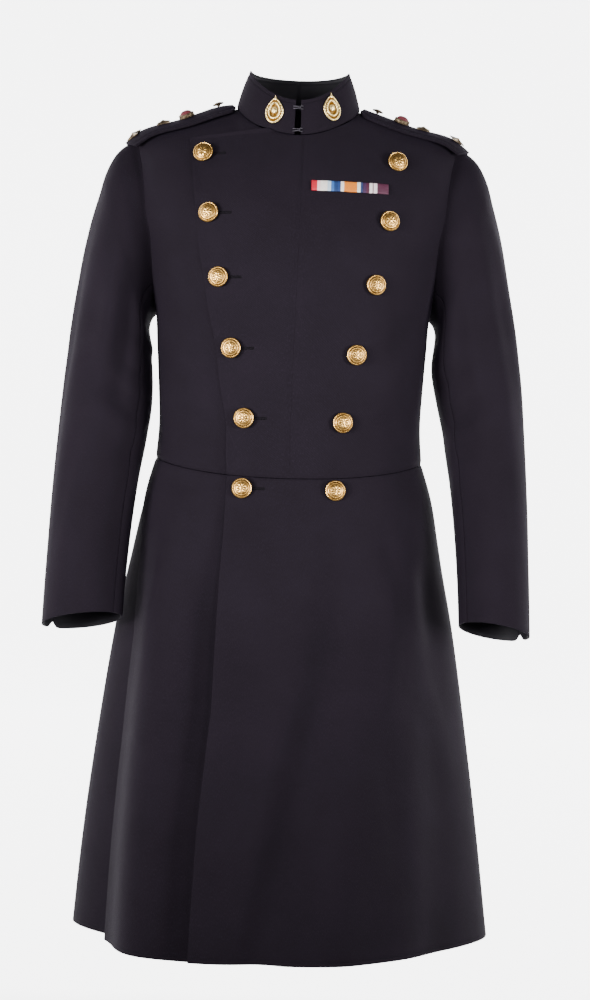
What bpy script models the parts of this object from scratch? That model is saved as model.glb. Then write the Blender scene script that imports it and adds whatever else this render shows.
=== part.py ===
"""Double-breasted military frock coat, worn shape, with nobody in it.

Metres, +Z up. The front faces -Y and the wearer's left is +X. The origin is the middle of the
neck opening, at the height of the collar seam. Every cloth piece is a wall of constant thickness
over a surface worked out from the tables of sections below.
"""
import math

import bmesh
import bpy
from mathutils import Matrix, Vector

WALL = 0.0020            # thickness of one layer of coat cloth with its interlining
SEAM = 0.0004            # gap between two pieces that are sewn edge to edge
LAP = 0.0031             # how far the lapping front lies above the layer under it
STRAP_WALL = 0.0034      # a shoulder strap is stiffened, so it is thicker
COLLAR_GAP = 0.0040      # half of the opening between the collar's front ends

# Body sections. Each is one closed line round the body, given by its side, front and back
# points; "square" flattens the front and back (1 is an ellipse, less is squarer).
# columns: side_x side_y side_z front_y front_z back_y back_z square
BODICE = (
    (0.1690, 0.000, -0.4455, -0.1130, -0.4690, 0.0780, -0.4450, 0.88),   # waist seam
    (0.1660, 0.000, -0.4000, -0.1145, -0.4150, 0.0770, -0.3950, 0.87),
    (0.1680, 0.000, -0.3520, -0.1190, -0.3600, 0.0860, -0.3450, 0.86),
    (0.1710, 0.000, -0.3050, -0.1245, -0.3080, 0.0980, -0.2950, 0.85),
    (0.1745, 0.001, -0.2580, -0.1280, -0.2550, 0.1080, -0.2420, 0.84),   # foot of the armhole
    (0.1860, 0.002, -0.2050, -0.1270, -0.2000, 0.1140, -0.1880, 0.84),
    (0.1960, 0.003, -0.1500, -0.1190, -0.1500, 0.1140, -0.1330, 0.84),
    (0.2010, 0.006, -0.0950, -0.1040, -0.1130, 0.1070, -0.0850, 0.90),
    (0.2020, 0.010, -0.0410, -0.0880, -0.0830, 0.0960, -0.0450, 1.10),   # shoulder point
    (0.1410, 0.006, -0.0190, -0.0720, -0.0590, 0.0790, -0.0150, 1.06),
    (0.0765, 0.000, 0.0022, -0.0600, -0.0400, 0.0610, 0.0130, 1.00),     # collar seam
)
SKIRT = (
    (0.1690, 0.000, -0.4455, -0.1130, -0.4690, 0.0780, -0.4450, 0.88),   # waist seam
    (0.1850, 0.004, -0.5000, -0.1240, -0.5120, 0.1040, -0.5000, 0.90),
    (0.1985, 0.009, -0.5800, -0.1390, -0.5850, 0.1310, -0.5800, 0.94),
    (0.2140, 0.016, -0.6650, -0.1540, -0.6680, 0.1520, -0.6650, 0.98),
    (0.2315, 0.024, -0.7850, -0.1740, -0.7870, 0.1790, -0.7850, 1.04),
    (0.2485, 0.032, -0.9150, -0.1930, -0.9180, 0.2050, -0.9150, 1.10),
    (0.2625, 0.040, -1.0440, -0.2110, -1.0490, 0.2290, -1.0450, 1.15),   # hem
)
# Armhole: an egg on the body surface, placed by angle round the body and by row of BODICE.
ARM_TOP_ROW, ARM_FOOT_ROW = 8.0, 4.0
ARM_TOP_ANGLE, ARM_FOOT_ANGLE = 90.0, 98.0
ARM_REACH_FRONT, ARM_REACH_BACK = 27.0, 25.0
ARM_STEP = 15.0          # the armhole's and the sleeve's points are this many degrees apart

# Right edge of the lapping front, seen from the front.  columns: z x
LAPEL_EDGE = ((-0.469, -0.0745), (-0.410, -0.0765), (-0.357, -0.0845), (-0.290, -0.0958),
              (-0.221, -0.1097), (-0.164, -0.1188), (-0.109, -0.1262), (-0.0689, -0.1345))
# The lapel's top edge, from its corner to the collar.  columns: row of BODICE, x
LAPEL_TOP = ((8.561, -0.1345), (9.0, -0.1001), (9.4, -0.0718), (9.72, -0.0514), (9.98, -0.0358))
SKIRT_EDGE = ((-0.469, -0.0745), (-0.583, -0.0773), (-0.750, -0.0799), (-0.891, -0.0906),
              (-1.048, -0.0965))
LAPEL_SEAM = ((-0.469, 0.0022), (-0.383, 0.0016), (-0.231, 0.0048), (-0.105, 0.0068),
              (-0.040, 0.0085))
UNDERLAP_X = 0.052       # how far the layer under the lapping front reaches past the middle
SIDE_SEAM = 98.0         # degrees from the front
LAP_FADE = (34.0, 62.0)  # degrees over which the lapping front comes down to the body
LAP_GROWTH = 0.4         # share by which the lap's lift has grown at the hem
SKIRT_SWING, SWING_POWER = 0.0060, 4.0   # the skirt's swing to the wearer's left at the hem
EDGE_FLARE = 0.0022      # how far the lapping skirt's free edge turns up at the hem
EDGE_FLARE_WIDTH = 9.0   # degrees from that edge over which it does so

# Seam between the back and the sidebody, up to the armhole.  columns: row angle
BACK_SEAM = ((0.0, 162.0), (2.0, 158.0), (3.5, 150.0), (5.0, 135.0), (6.0, 122.5), (6.5176, 118.2))
WAIST_ROW = 0.005        # the waist seam's two edges start this far from the seam line

# Side pleats of the skirt.  columns: row of SKIRT, angle on the wearer's right, and left
PLEAT = ((0.0, 88.0, 98.0), (1.0, 78.0, 97.0), (2.0, 67.0, 96.0), (3.0, 59.5, 95.0),
         (4.0, 57.5, 94.0), (6.0, 57.0, 94.0))
PLEAT_UNDER = 7.0        # degrees that the back skirt runs on under the front skirt
PLEAT_STEP = 0.0031      # how far the front skirt lies above the back skirt at the waist
PLEAT_DEPTH = {"right": 0.0230, "left": 0.0080}   # and further at the hem
PLEAT_FADE = (-2.0, 24.0)   # degrees behind the pleat over which the back skirt comes out again

# Folds of the skirt: crest (+) or trough (-) lines that fade in below the waist.
# columns: angle at the waist, angle at the hem, first row, height at the hem, half-width in degrees
SKIRT_FOLDS = (
    (36.0, -8.0, 1.0, -0.0080, 9.0),       # the long slanting trough on the lapping front
    (66.0, 18.0, 1.5, 0.0050, 10.0),
    (70.0, 50.0, 1.0, -0.0060, 9.0),
    (88.0, 76.0, 1.5, 0.0060, 10.0),
    (-20.0, -22.0, 1.5, 0.0130, 9.0),      # the lapping front's free edge stands forward
    (-44.0, -38.0, 0.5, 0.0380, 12.5),     # full round ridge in front of the right pleat
    (-84.0, -88.0, 0.8, 0.0060, 8.0),
    (112.0, 112.0, 1.0, -0.0080, 9.0),
    (130.0, 132.0, 0.6, 0.0100, 9.0),
    (150.0, 154.0, 1.0, -0.0090, 9.0),
    (170.0, 172.0, 0.8, 0.0050, 8.0),
    (-112.0, -108.0, 1.0, -0.0090, 9.0),
    (-130.0, -130.0, 0.6, 0.0090, 9.0),
    (-150.0, -152.0, 1.0, -0.0090, 9.0),
    (-170.0, -172.0, 0.8, 0.0050, 8.0),
)

# Sleeve sections, from the armhole to the cuff; each is a closed line round the arm.
# columns: outer_x outer_z inner_x inner_z middle_y half_depth tilt
SLEEVE = (
    (0.2020, -0.0410, 0.1760, -0.2590, 0.003, 0.0620, 0.0),
    (0.2150, -0.0460, 0.1785, -0.2645, 0.003, 0.0655, 0.0),
    (0.2305, -0.0605, 0.1815, -0.2700, 0.003, 0.0695, 0.0),
    (0.2425, -0.0850, 0.1825, -0.2780, 0.003, 0.0715, 0.0),
    (0.2505, -0.1150, 0.1820, -0.2880, 0.002, 0.0725, 0.0),
    (0.2595, -0.1480, 0.1805, -0.3000, 0.001, 0.0725, 0.0),
    (0.2675, -0.1850, 0.1787, -0.3150, 0.000, 0.0720, 1.0),
    (0.2740, -0.2250, 0.1775, -0.3330, -0.002, 0.0705, 2.0),
    (0.2805, -0.2700, 0.1775, -0.3560, -0.005, 0.0685, 4.0),
    (0.2850, -0.3150, 0.1795, -0.3830, -0.009, 0.0665, 6.0),
    (0.2885, -0.3560, 0.1835, -0.4110, -0.015, 0.0645, 8.0),
    (0.2915, -0.4000, 0.1880, -0.4410, -0.022, 0.0620, 9.5),
    (0.2945, -0.4500, 0.1930, -0.4740, -0.031, 0.0590, 11.0),
    (0.2970, -0.5050, 0.1975, -0.5160, -0.043, 0.0560, 12.0),
    (0.2985, -0.5600, 0.2010, -0.5600, -0.056, 0.0530, 13.0),
    (0.2998, -0.6120, 0.2035, -0.6040, -0.069, 0.0505, 14.0),
    (0.3005, -0.6580, 0.2050, -0.6450, -0.081, 0.0485, 14.0),
)
# The left arm hangs further from the body: how far its outer and inner sides move out.
SLEEVE_SPREAD = {"left": (0.0048, 0.0115), "right": (0.0, -0.0045)}
SPREAD_SECTIONS = (6.0, 10.0)        # sections over which that grows to its full size
SLEEVE_RADIUS = 0.055    # usual radius of a sleeve, to turn a seam's gap into degrees
SLEEVE_FADE = 4.0        # sections over which the armhole's own line turns into the sleeve's
FOREARM_SEAM = (-135.0, -145.0)      # degrees round the sleeve at the armhole and at the cuff
HINDARM_SEAM = (105.0, 36.0)
CUFF_BUTTON_SECTIONS = (14.85, 15.45)
CUFF_BUTTON_TURN = -10.0             # degrees from the hindarm seam
FOLD_SECTIONS = (0.5, 2.0)           # the folds fade in below the armhole over these sections
# Folds of a sleeve.  columns: side (0 both), section, degrees, half-width in sections, in degrees,
# height, slant in degrees per section
SLEEVE_FOLDS = (
    (0, 9.2, -95.0, 0.75, 46.0, -0.0040, 9.0),
    (0, 10.6, -110.0, 0.70, 42.0, 0.0032, 8.0),
    (0, 7.4, -60.0, 1.20, 24.0, -0.0034, 14.0),
    (0, 4.4, -88.0, 1.80, 15.0, -0.0042, 4.0),
    (0, 4.8, 96.0, 2.00, 18.0, -0.0042, -4.0),
    (1, 6.4, -34.0, 3.20, 13.0, 0.0042, 3.0),
    (-1, 7.6, -24.0, 4.20, 13.0, -0.0040, 1.0),
    (0, 10.2, 110.0, 1.10, 34.0, 0.0030, 5.0),
)

# Stand collar: its upper line.  columns: side_x side_y side_z front_y front_z back_y back_z square
COLLAR_TOP = (0.0630, 0.0020, 0.0510, -0.0550, 0.0060, 0.0540, 0.0490, 1.00)
COLLAR_LEAN = 0.0020     # the collar's foot stands this far outside the collar seam
COLLAR_RISE = 0.0018     # in front it stands this much higher, on the upper edge of the lapel
RISE_FADE = {"left": (46.0, 64.0), "right": (31.0, 44.0)}   # degrees over which that ends
COLLAR_BELLY = 0.0012    # outward curve of the collar between its foot and its upper edge
COLLAR_BACK = 179.85     # degrees, where each half ends at the centre back
COLLAR_FRONT_RADIUS = 0.0725
# Wreath badges of the collar.  columns: side, turn, distance from the middle
BADGES = (("left", 1.0, 0.0425), ("right", -1.0, 0.0300))
BADGE_HALF_WIDTH, BADGE_HALF_HEIGHT = 0.0124, 0.0176
BADGE_STEPS = 20
BADGE_WAVE = 0.045       # share by which the badge's outline goes in and out
BADGE_LEVELS = ((1.0, 0.0), (1.0, 0.0010), (0.80, 0.0026), (0.30, 0.0032))   # share, height

# Shoulder straps lie on the shoulder; the right one arches up a little before its button.
# columns: row, half-width, lift on the wearer's right, and on the left
STRAP = ((7.80, 0.0285, 0.0053, 0.0053), (8.02, 0.0285, 0.0047, 0.0047),
         (8.30, 0.0285, 0.0042, 0.0032), (8.60, 0.0282, 0.0040, 0.0021),
         (8.95, 0.0276, 0.0044, 0.0016), (9.25, 0.0268, 0.0050, 0.0014),
         (9.52, 0.0256, 0.0056, 0.0014), (9.72, 0.0240, 0.0048, 0.0014),
         (9.84, 0.0215, 0.0034, 0.0014), (9.92, 0.0170, 0.0022, 0.0014))
STRAP_SEWN_ROW = 8.02    # beyond this row the strap runs straight out over the sleeve's head
# Ornaments of the straps.  columns: side, rows of its outer star, inner star, crown
ORNAMENT_ROWS = (("left", 8.10, 8.74, 9.17), ("right", 8.00, 8.58, 9.03))
STRAP_BUTTON_ROW = 9.66
ORNAMENT_ACROSS = -0.006 # the ornaments sit a little in front of the strap's middle line
STAR_POINTS, STAR_OUTER, STAR_INNER = 4, 0.0125, 0.0072
STAR_LEVELS = ((1.0, 0.0), (0.96, 0.0012), (0.45, 0.0042))
CROWN_PROFILE = ((0.0, 0.0042), (0.0085, 0.0042), (0.0105, 0.0040), (0.0105, 0.0), (0.0, 0.0))
CUSHION_PROFILE = ((0.0, 0.0088), (0.0045, 0.0082), (0.0076, 0.0062), (0.0080, 0.0045),
                   (0.0, 0.0045))

# Large buttons.  columns: x and z on the wearer's right, x and z on the left
BUTTON_ROWS = ((-0.1156, -0.0672, 0.1242, -0.0730), (-0.1050, -0.1455, 0.1146, -0.1500),
               (-0.0904, -0.2245, 0.0996, -0.2290), (-0.0726, -0.3108, 0.0783, -0.3152),
               (-0.0551, -0.3960, 0.0642, -0.3985), (-0.0551, -0.4830, 0.0576, -0.4830))
BUTTON_RADIUS = 0.0127
BUTTON_HEIGHT = 0.0078
BUTTON_STEPS = 14
SHANK_SHARE = 0.26       # radius of a button's shank, as a share of the button's
SMALL_STEPS = 12
BUTTON_WAIST = -0.462    # buttons lower than this sit on the skirt
BUTTON_LEVEL = 0.45      # a button hangs more upright than its cloth: share of the cloth's slope
SMALL_RADIUS = 0.0072
SMALL_HEIGHT = 0.0052
RIBBON_START, RIBBON_END = 0.0190, 0.1134   # the ribbon bar's ends, across the left breast
RIBBON_TOP, RIBBON_FOOT = -0.1028, -0.1158
RIBBON_SLOPE = 0.0008    # its outer end hangs this much lower
RIBBON_SEAT, RIBBON_WALL = 0.0006, 0.0016
HOOK_RADIUS = 0.0013
HOOK_LENGTH = 0.0125
HOOK_LEVELS = (0.76, 0.10)   # height on the collar
SEAT = 0.0003            # clearance between a piece of metal and the cloth that it sits on
STRAP_SEAT = 0.0007      # and on the curved shoulder straps

BRASS = (0.58, 0.37, 0.14, 1.0)
GILT = (0.72, 0.47, 0.16, 1.0)
CLOTH = (0.020, 0.018, 0.027, 1.0)
STEEL = (0.42, 0.41, 0.42, 1.0)
RED_VELVET = (0.25, 0.01, 0.02, 1.0)
RIBBON_COLOURS = (("ribbon_red", (0.45, 0.05, 0.10, 1.0)), ("ribbon_orange", (0.60, 0.25, 0.05, 1.0)),
                  ("ribbon_claret", (0.20, 0.02, 0.08, 1.0)))


def clear_scene():
    for item in list(bpy.data.objects):
        bpy.data.objects.remove(item, do_unlink=True)


def material(name, colour, roughness, metallic=0.0):
    found = bpy.data.materials.get(name)
    if found:
        return found
    made = bpy.data.materials.new(name)
    made.use_nodes = True
    shader = made.node_tree.nodes["Principled BSDF"]
    shader.inputs["Base Color"].default_value = colour
    shader.inputs["Roughness"].default_value = roughness
    shader.inputs["Metallic"].default_value = metallic
    made.diffuse_color = colour
    return made


def add_object(name, bm, look, smooth=True):
    """Links a bmesh as a named object, faces outwards."""
    bmesh.ops.recalc_face_normals(bm, faces=bm.faces)
    mesh = bpy.data.meshes.new(name)
    bm.to_mesh(mesh)
    bm.free()
    if smooth:
        mesh.shade_smooth()
        mesh.set_sharp_from_angle(angle=math.radians(40.0))
    mesh.materials.append(look)
    made = bpy.data.objects.new(name, mesh)
    bpy.context.scene.collection.objects.link(made)
    return made


def blend(low, high, value):
    """0 below low, 1 above high, smooth between."""
    share = min(max((value - low) / (high - low), 0.0), 1.0)
    return share * share * (3.0 - 2.0 * share)


def curve_value(table, at, column=1):
    """Reads a column of a table whose first column rises or falls steadily, by straight steps."""
    rows = table if table[0][0] < table[-1][0] else table[::-1]
    if at <= rows[0][0]:
        return rows[0][column]
    for low, high in zip(rows, rows[1:]):
        if at <= high[0]:
            share = (at - low[0]) / (high[0] - low[0])
            return low[column] + share * (high[column] - low[column])
    return rows[-1][column]


def section(table, row):
    """A section between two rows of a table, on a smooth curve through all the rows."""
    last = len(table) - 1
    index = min(max(int(math.floor(row)), 0), last - 1)
    share = row - index
    before = table[max(index - 1, 0)]
    here, after = table[index], table[index + 1]
    beyond = table[min(index + 2, last)]
    values = []
    for a, b, c, d in zip(before, here, after, beyond):
        slope_in, slope_out = (c - a) / 2.0, (d - b) / 2.0
        if index == 0:
            slope_in = c - b
        if index == last - 1:
            slope_out = c - b
        values.append((2 * share ** 3 - 3 * share ** 2 + 1) * b
                      + (share ** 3 - 2 * share ** 2 + share) * slope_in
                      + (3 * share ** 2 - 2 * share ** 3) * c
                      + (share ** 3 - share ** 2) * slope_out)
    return values


def ring_point(values, degrees):
    """A point of a section. 0 is the front, 90 the wearer's left, -90 the right, 180 the back."""
    side_x, side_y, side_z, front_y, front_z, back_y, back_z, square = values
    angle = math.radians(degrees)
    across, along = math.sin(angle), math.cos(angle)
    far_y, far_z = (front_y, front_z) if along > 0 else (back_y, back_z)
    reach = abs(along)
    return Vector((
        side_x * math.copysign(abs(across) ** square, across),
        side_y + (far_y - side_y) * reach ** square,
        side_z + (far_z - side_z) * reach ** 1.5,
    ))


def skirt_fold(row, degrees):
    """Height of the skirt's folds above its plain surface."""
    height = 0.0
    for at_waist, at_hem, first, crest, width in SKIRT_FOLDS:
        if row <= first:
            continue
        share = row / (len(SKIRT) - 1)
        centre = at_waist + (at_hem - at_waist) * share
        away = (degrees - centre + 180.0) % 360.0 - 180.0
        height += crest * ((row - first) / (len(SKIRT) - 1 - first)) ** 0.8 \
            * math.exp(-(away / width) ** 2)
    return height


def bodice_skin(row, degrees):
    return ring_point(section(BODICE, row), degrees)


def skirt_skin(row, degrees):
    point = ring_point(section(SKIRT, row), degrees)
    outward = Vector((point.x, point.y, 0.0)).normalized()
    point.x += SKIRT_SWING * (row / (len(SKIRT) - 1)) ** SWING_POWER
    return point + outward * skirt_fold(row, degrees)


def lifted(skin, row, degrees, lift, last):
    """A point of a skin, moved out along the skin's normal."""
    step = 0.02
    low, high = max(row - step, 0.0), min(row + step, last)
    along = skin(high, degrees) - skin(low, degrees)
    if skin is skirt_skin:
        along.negate()
    across = skin(row, degrees + 0.5) - skin(row, degrees - 0.5)
    normal = across.cross(along).normalized()
    # both sides of the waist seam are level there, so that their edges meet
    normal.z *= blend(0.0, 0.6, row)
    normal.normalize()
    return skin(row, degrees) + normal * lift, normal


def bodice(row, degrees, lift=0.0):
    return lifted(bodice_skin, row, degrees, lift, len(BODICE) - 1)[0]


def bodice_normal(row, degrees):
    return lifted(bodice_skin, row, degrees, 0.0, len(BODICE) - 1)[1]


def skirt(row, degrees, lift=0.0):
    return lifted(skirt_skin, row, degrees, lift, len(SKIRT) - 1)[0]


def angle_at_x(table, row, x):
    """The angle of the front point of a section that lies at x."""
    values = section(table, row)
    share = min(abs(x) / values[0], 1.0) ** (1.0 / values[7])
    return math.copysign(math.degrees(math.asin(min(share, 1.0))), x)


def row_at_z(table, x, z):
    """The row whose front point at x has height z."""
    rising = table is BODICE
    low, high = 0.0, float(len(table) - 1)
    for _ in range(40):
        middle = (low + high) / 2.0
        height = ring_point(section(table, middle), angle_at_x(table, middle, x)).z
        if (height < z) == rising:
            low = middle
        else:
            high = middle
    return (low + high) / 2.0


def front_z(table, row):
    return section(table, row)[4]


def lapel_angle(row):
    """Angle of the lapping front's free edge."""
    if row <= LAPEL_TOP[0][0]:
        return angle_at_x(BODICE, row, curve_value(LAPEL_EDGE, front_z(BODICE, row)))
    return angle_at_x(BODICE, row, curve_value(LAPEL_TOP, row))


def lapel_seam_angle(row):
    return angle_at_x(BODICE, row, curve_value(LAPEL_SEAM, front_z(BODICE, row)))


def skirt_edge_angle(row):
    return angle_at_x(SKIRT, row, curve_value(SKIRT_EDGE, front_z(SKIRT, row)))


def lap_lift(degrees):
    """The lapping front lies above the other one in front, and comes down to the body beside it."""
    return LAP * (1.0 - blend(*LAP_FADE, degrees))


def gap_degrees(table, row, length):
    """The angle that a short length takes up on a section, at its front."""
    return math.degrees(length / max(section(table, row)[0], 0.02))


def armhole_angle(turn):
    """Angle round the body of the armhole's point at a turn; 0 top, -90 front, 90 back."""
    around = math.radians(turn)
    middle = (ARM_TOP_ANGLE + ARM_FOOT_ANGLE) / 2.0
    swing = (ARM_FOOT_ANGLE - ARM_TOP_ANGLE) / 2.0
    reach = ARM_REACH_BACK if math.sin(around) > 0 else ARM_REACH_FRONT
    return middle - swing * math.cos(around) + reach * math.sin(around)


def armhole_row(turn):
    middle = (ARM_TOP_ROW + ARM_FOOT_ROW) / 2.0
    return middle + (ARM_TOP_ROW - ARM_FOOT_ROW) / 2.0 * math.cos(math.radians(turn))


def front_limit(row):
    """Rear edge of a forepart: side seam, armhole, then shoulder seam."""
    if row <= ARM_FOOT_ROW:
        return SIDE_SEAM
    if row >= ARM_TOP_ROW:
        return 90.0
    half = (ARM_TOP_ROW - ARM_FOOT_ROW) / 2.0
    turn = math.degrees(math.acos((row - ARM_FOOT_ROW - half) / half))
    return armhole_angle(-turn)


def back_limit(row):
    """Front edge of a back: the seam to the sidebody, armhole, then shoulder seam."""
    if row <= BACK_SEAM[-1][0] + 0.001:
        return curve_value(BACK_SEAM, row)
    if row >= ARM_TOP_ROW:
        return 90.0
    half = (ARM_TOP_ROW - ARM_FOOT_ROW) / 2.0
    turn = math.degrees(math.acos((row - ARM_FOOT_ROW - half) / half))
    return armhole_angle(turn)


def sidebody_limit(row):
    """Front edge of a sidebody: side seam, then the back of the armhole."""
    if row <= ARM_FOOT_ROW:
        return SIDE_SEAM
    half = (ARM_TOP_ROW - ARM_FOOT_ROW) / 2.0
    turn = math.degrees(math.acos((row - ARM_FOOT_ROW - half) / half))
    return armhole_angle(turn)


def wall(name, outer, inner, look):
    """A closed cloth wall between two equal grids of points."""
    bm = bmesh.new()
    skins = [[[bm.verts.new(point) for point in line] for line in grid] for grid in (outer, inner)]
    count, width = len(outer), len(outer[0])
    for skin in skins:
        for j in range(count - 1):
            for i in range(width - 1):
                bm.faces.new((skin[j][i], skin[j][i + 1], skin[j + 1][i + 1], skin[j + 1][i]))
    rim = [(0, i) for i in range(width)] + [(j, width - 1) for j in range(1, count)]
    rim += [(count - 1, i) for i in range(width - 2, -1, -1)]
    rim += [(j, 0) for j in range(count - 2, 0, -1)]
    for (j, i), (l, k) in zip(rim, rim[1:] + rim[:1]):
        bm.faces.new((skins[0][j][i], skins[0][l][k], skins[1][l][k], skins[1][j][i]))
    return add_object(name, bm, look)


def panel(name, place, rows, columns, low, high, lift, look, thickness=WALL):
    """A panel of the body between two edges given as angles for each row."""
    outer, inner = [], []
    for row in rows:
        start, end = low(row), high(row)
        angles = [start + (end - start) * i / columns for i in range(columns + 1)]
        outer.append([place(row, a, lift(row, a)) for a in angles])
        inner.append([place(row, a, lift(row, a) - thickness) for a in angles])
    return wall(name, outer, inner, look)


def flat(row, degrees):
    return 0.0


def bodice_rows(last):
    """Rows of the bodice's grid, with those of the armhole's points among them."""
    rows = [WAIST_ROW, 1.0, 2.0, 3.0, 3.6]
    turn = 180.0
    while turn >= 0.0:
        rows.append(armhole_row(turn))
        turn -= ARM_STEP
    rows += [row for row, _ in LAPEL_TOP]
    return [row for row in rows if row <= last]


def make_bodice(cloth):
    rows = bodice_rows(10.0)
    seam = SEAM / 2.0

    def lapel_lift(row, degrees):
        return LAP

    panel("lapel_left", bodice, rows, 6, lapel_angle,
          lambda row: lapel_seam_angle(row) - gap_degrees(BODICE, row, seam), lapel_lift, cloth)
    panel("forepart_left", bodice, rows, 9,
          lambda row: lapel_seam_angle(row) + gap_degrees(BODICE, row, seam),
          lambda row: front_limit(row) - gap_degrees(BODICE, row, seam),
          lambda row, a: lap_lift(a), cloth)
    panel("forepart_right", bodice, rows, 11,
          lambda row: -front_limit(row) + gap_degrees(BODICE, row, seam),
          lambda row: angle_at_x(BODICE, row, UNDERLAP_X), flat, cloth)
    low_rows = bodice_rows(BACK_SEAM[-1][0] + 0.001)
    for side, turn in (("left", 1.0), ("right", -1.0)):
        panel("sidebody_" + side, bodice, low_rows, 5,
              lambda row: turn * (sidebody_limit(row) + gap_degrees(BODICE, row, seam)),
              lambda row: turn * (back_limit(row) - gap_degrees(BODICE, row, seam)), flat, cloth)
        panel("back_" + side, bodice, rows, 7,
              lambda row: turn * (back_limit(row) + gap_degrees(BODICE, row, seam)),
              lambda row: turn * (180.0 - gap_degrees(BODICE, row, seam)), flat, cloth)


def make_skirts(cloth):
    rows = [WAIST_ROW, 0.35, 0.7, 1.1, 1.5, 1.9, 2.3, 2.7, 3.1, 3.5, 3.9, 4.3, 4.7, 5.1, 5.55, 6.0]

    def edge_lift(row, degrees):
        down = row / (len(SKIRT) - 1)
        from_edge = degrees - skirt_edge_angle(row)
        flare = EDGE_FLARE * down * (1.0 - blend(0.0, EDGE_FLARE_WIDTH, from_edge))
        return lap_lift(degrees) * (1.0 + LAP_GROWTH * down) + flare

    def rear_lift(side):
        column = 1 if side == "right" else 2

        def lift(row, degrees):
            beyond = abs((degrees + 180.0) % 360.0 - 180.0) - curve_value(PLEAT, row, column)
            depth = PLEAT_STEP + PLEAT_DEPTH[side] * row / (len(SKIRT) - 1)
            return -depth * (1.0 - blend(*PLEAT_FADE, beyond))
        return lift

    panel("skirt_front_left", skirt, rows, 15, skirt_edge_angle,
          lambda row: curve_value(PLEAT, row, 2), edge_lift, cloth)
    panel("skirt_front_right", skirt, rows, 12, lambda row: -curve_value(PLEAT, row, 1),
          lambda row: angle_at_x(SKIRT, row, UNDERLAP_X), flat, cloth)
    for side, turn, column in (("left", 1.0, 2), ("right", -1.0, 1)):
        panel("skirt_back_" + side, skirt, rows, 12,
              lambda row: turn * (curve_value(PLEAT, row, column) - PLEAT_UNDER),
              lambda row: turn * (180.0 - gap_degrees(SKIRT, row, SEAM / 2.0)),
              rear_lift(side), cloth)


def sleeve_skin(side, part, turn):
    """A point of the sleeve. Turn: 0 outer side, -90 front, 90 back, 180 against the body."""
    hand = 1.0 if side == "left" else -1.0
    outer_x, outer_z, inner_x, inner_z, middle_y, half_depth, tilt = section(SLEEVE, part)
    outer_x += SLEEVE_SPREAD[side][0] * blend(*SPREAD_SECTIONS, part)
    inner_x += SLEEVE_SPREAD[side][1] * blend(*SPREAD_SECTIONS, part)
    around = math.radians(turn)
    lean = math.radians(tilt)
    centre = Vector(((outer_x + inner_x) / 2.0, middle_y, (outer_z + inner_z) / 2.0))
    across = Vector(((outer_x - inner_x) / 2.0, 0.0, (outer_z - inner_z) / 2.0))
    back = Vector((0.0, math.cos(lean), -math.sin(lean))) * half_depth
    point = centre + across * math.cos(around) + back * math.sin(around)
    fade = 1.0 - blend(0.0, SLEEVE_FADE, part)
    if fade > 0.0:
        first = SLEEVE[0]
        plain = Vector(((first[0] + first[2]) / 2.0, first[4], (first[1] + first[3]) / 2.0))
        plain += Vector(((first[0] - first[2]) / 2.0, 0.0, (first[1] - first[3]) / 2.0)) \
            * math.cos(around)
        plain += Vector((0.0, first[5], 0.0)) * math.sin(around)
        true = bodice_skin(armhole_row(turn), armhole_angle(turn))
        point += (true - plain) * fade
    swell = 0.0
    for owner, at, degrees, length, width, height, slant in SLEEVE_FOLDS:
        if owner in (0, hand):
            away = (turn - degrees - slant * (part - at) + 180.0) % 360.0 - 180.0
            swell += height * math.exp(-((part - at) / length) ** 2 - (away / width) ** 2)
    point += (point - centre).normalized() * swell * blend(*FOLD_SECTIONS, part)
    return Vector((hand * point.x, point.y, point.z))


def sleeve_normal(side, part, turn):
    """Outward normal; at the armhole it is the body's own, so that the seam's edges meet."""
    hand = 1.0 if side == "left" else -1.0
    low, high = max(part - 0.05, 0.0), min(part + 0.05, len(SLEEVE) - 1.0)
    along = sleeve_skin(side, high, turn) - sleeve_skin(side, low, turn)
    across = sleeve_skin(side, part, turn + 1.0) - sleeve_skin(side, part, turn - 1.0)
    normal = along.cross(across).normalized() * hand
    share = 1.0 - blend(0.0, 1.0, part)
    if share > 0.0:
        seam = bodice_normal(armhole_row(turn), armhole_angle(turn))
        seam.x *= hand
        normal = (normal * (1.0 - share) + seam * share).normalized()
    return normal


def sleeve_start(side, turn):
    """The sleeve's first line lies a seam's gap inside the armhole."""
    point = sleeve_skin(side, 0.0, turn)
    hand = 1.0 if side == "left" else -1.0
    centre = bodice_skin((ARM_TOP_ROW + ARM_FOOT_ROW) / 2.0, (ARM_TOP_ANGLE + ARM_FOOT_ANGLE) / 2.0)
    centre.x *= hand
    inward = centre - point
    inward -= inward.dot(sleeve_normal(side, 0.0, turn)) * sleeve_normal(side, 0.0, turn)
    return point + inward.normalized() * SEAM * 1.5


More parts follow.
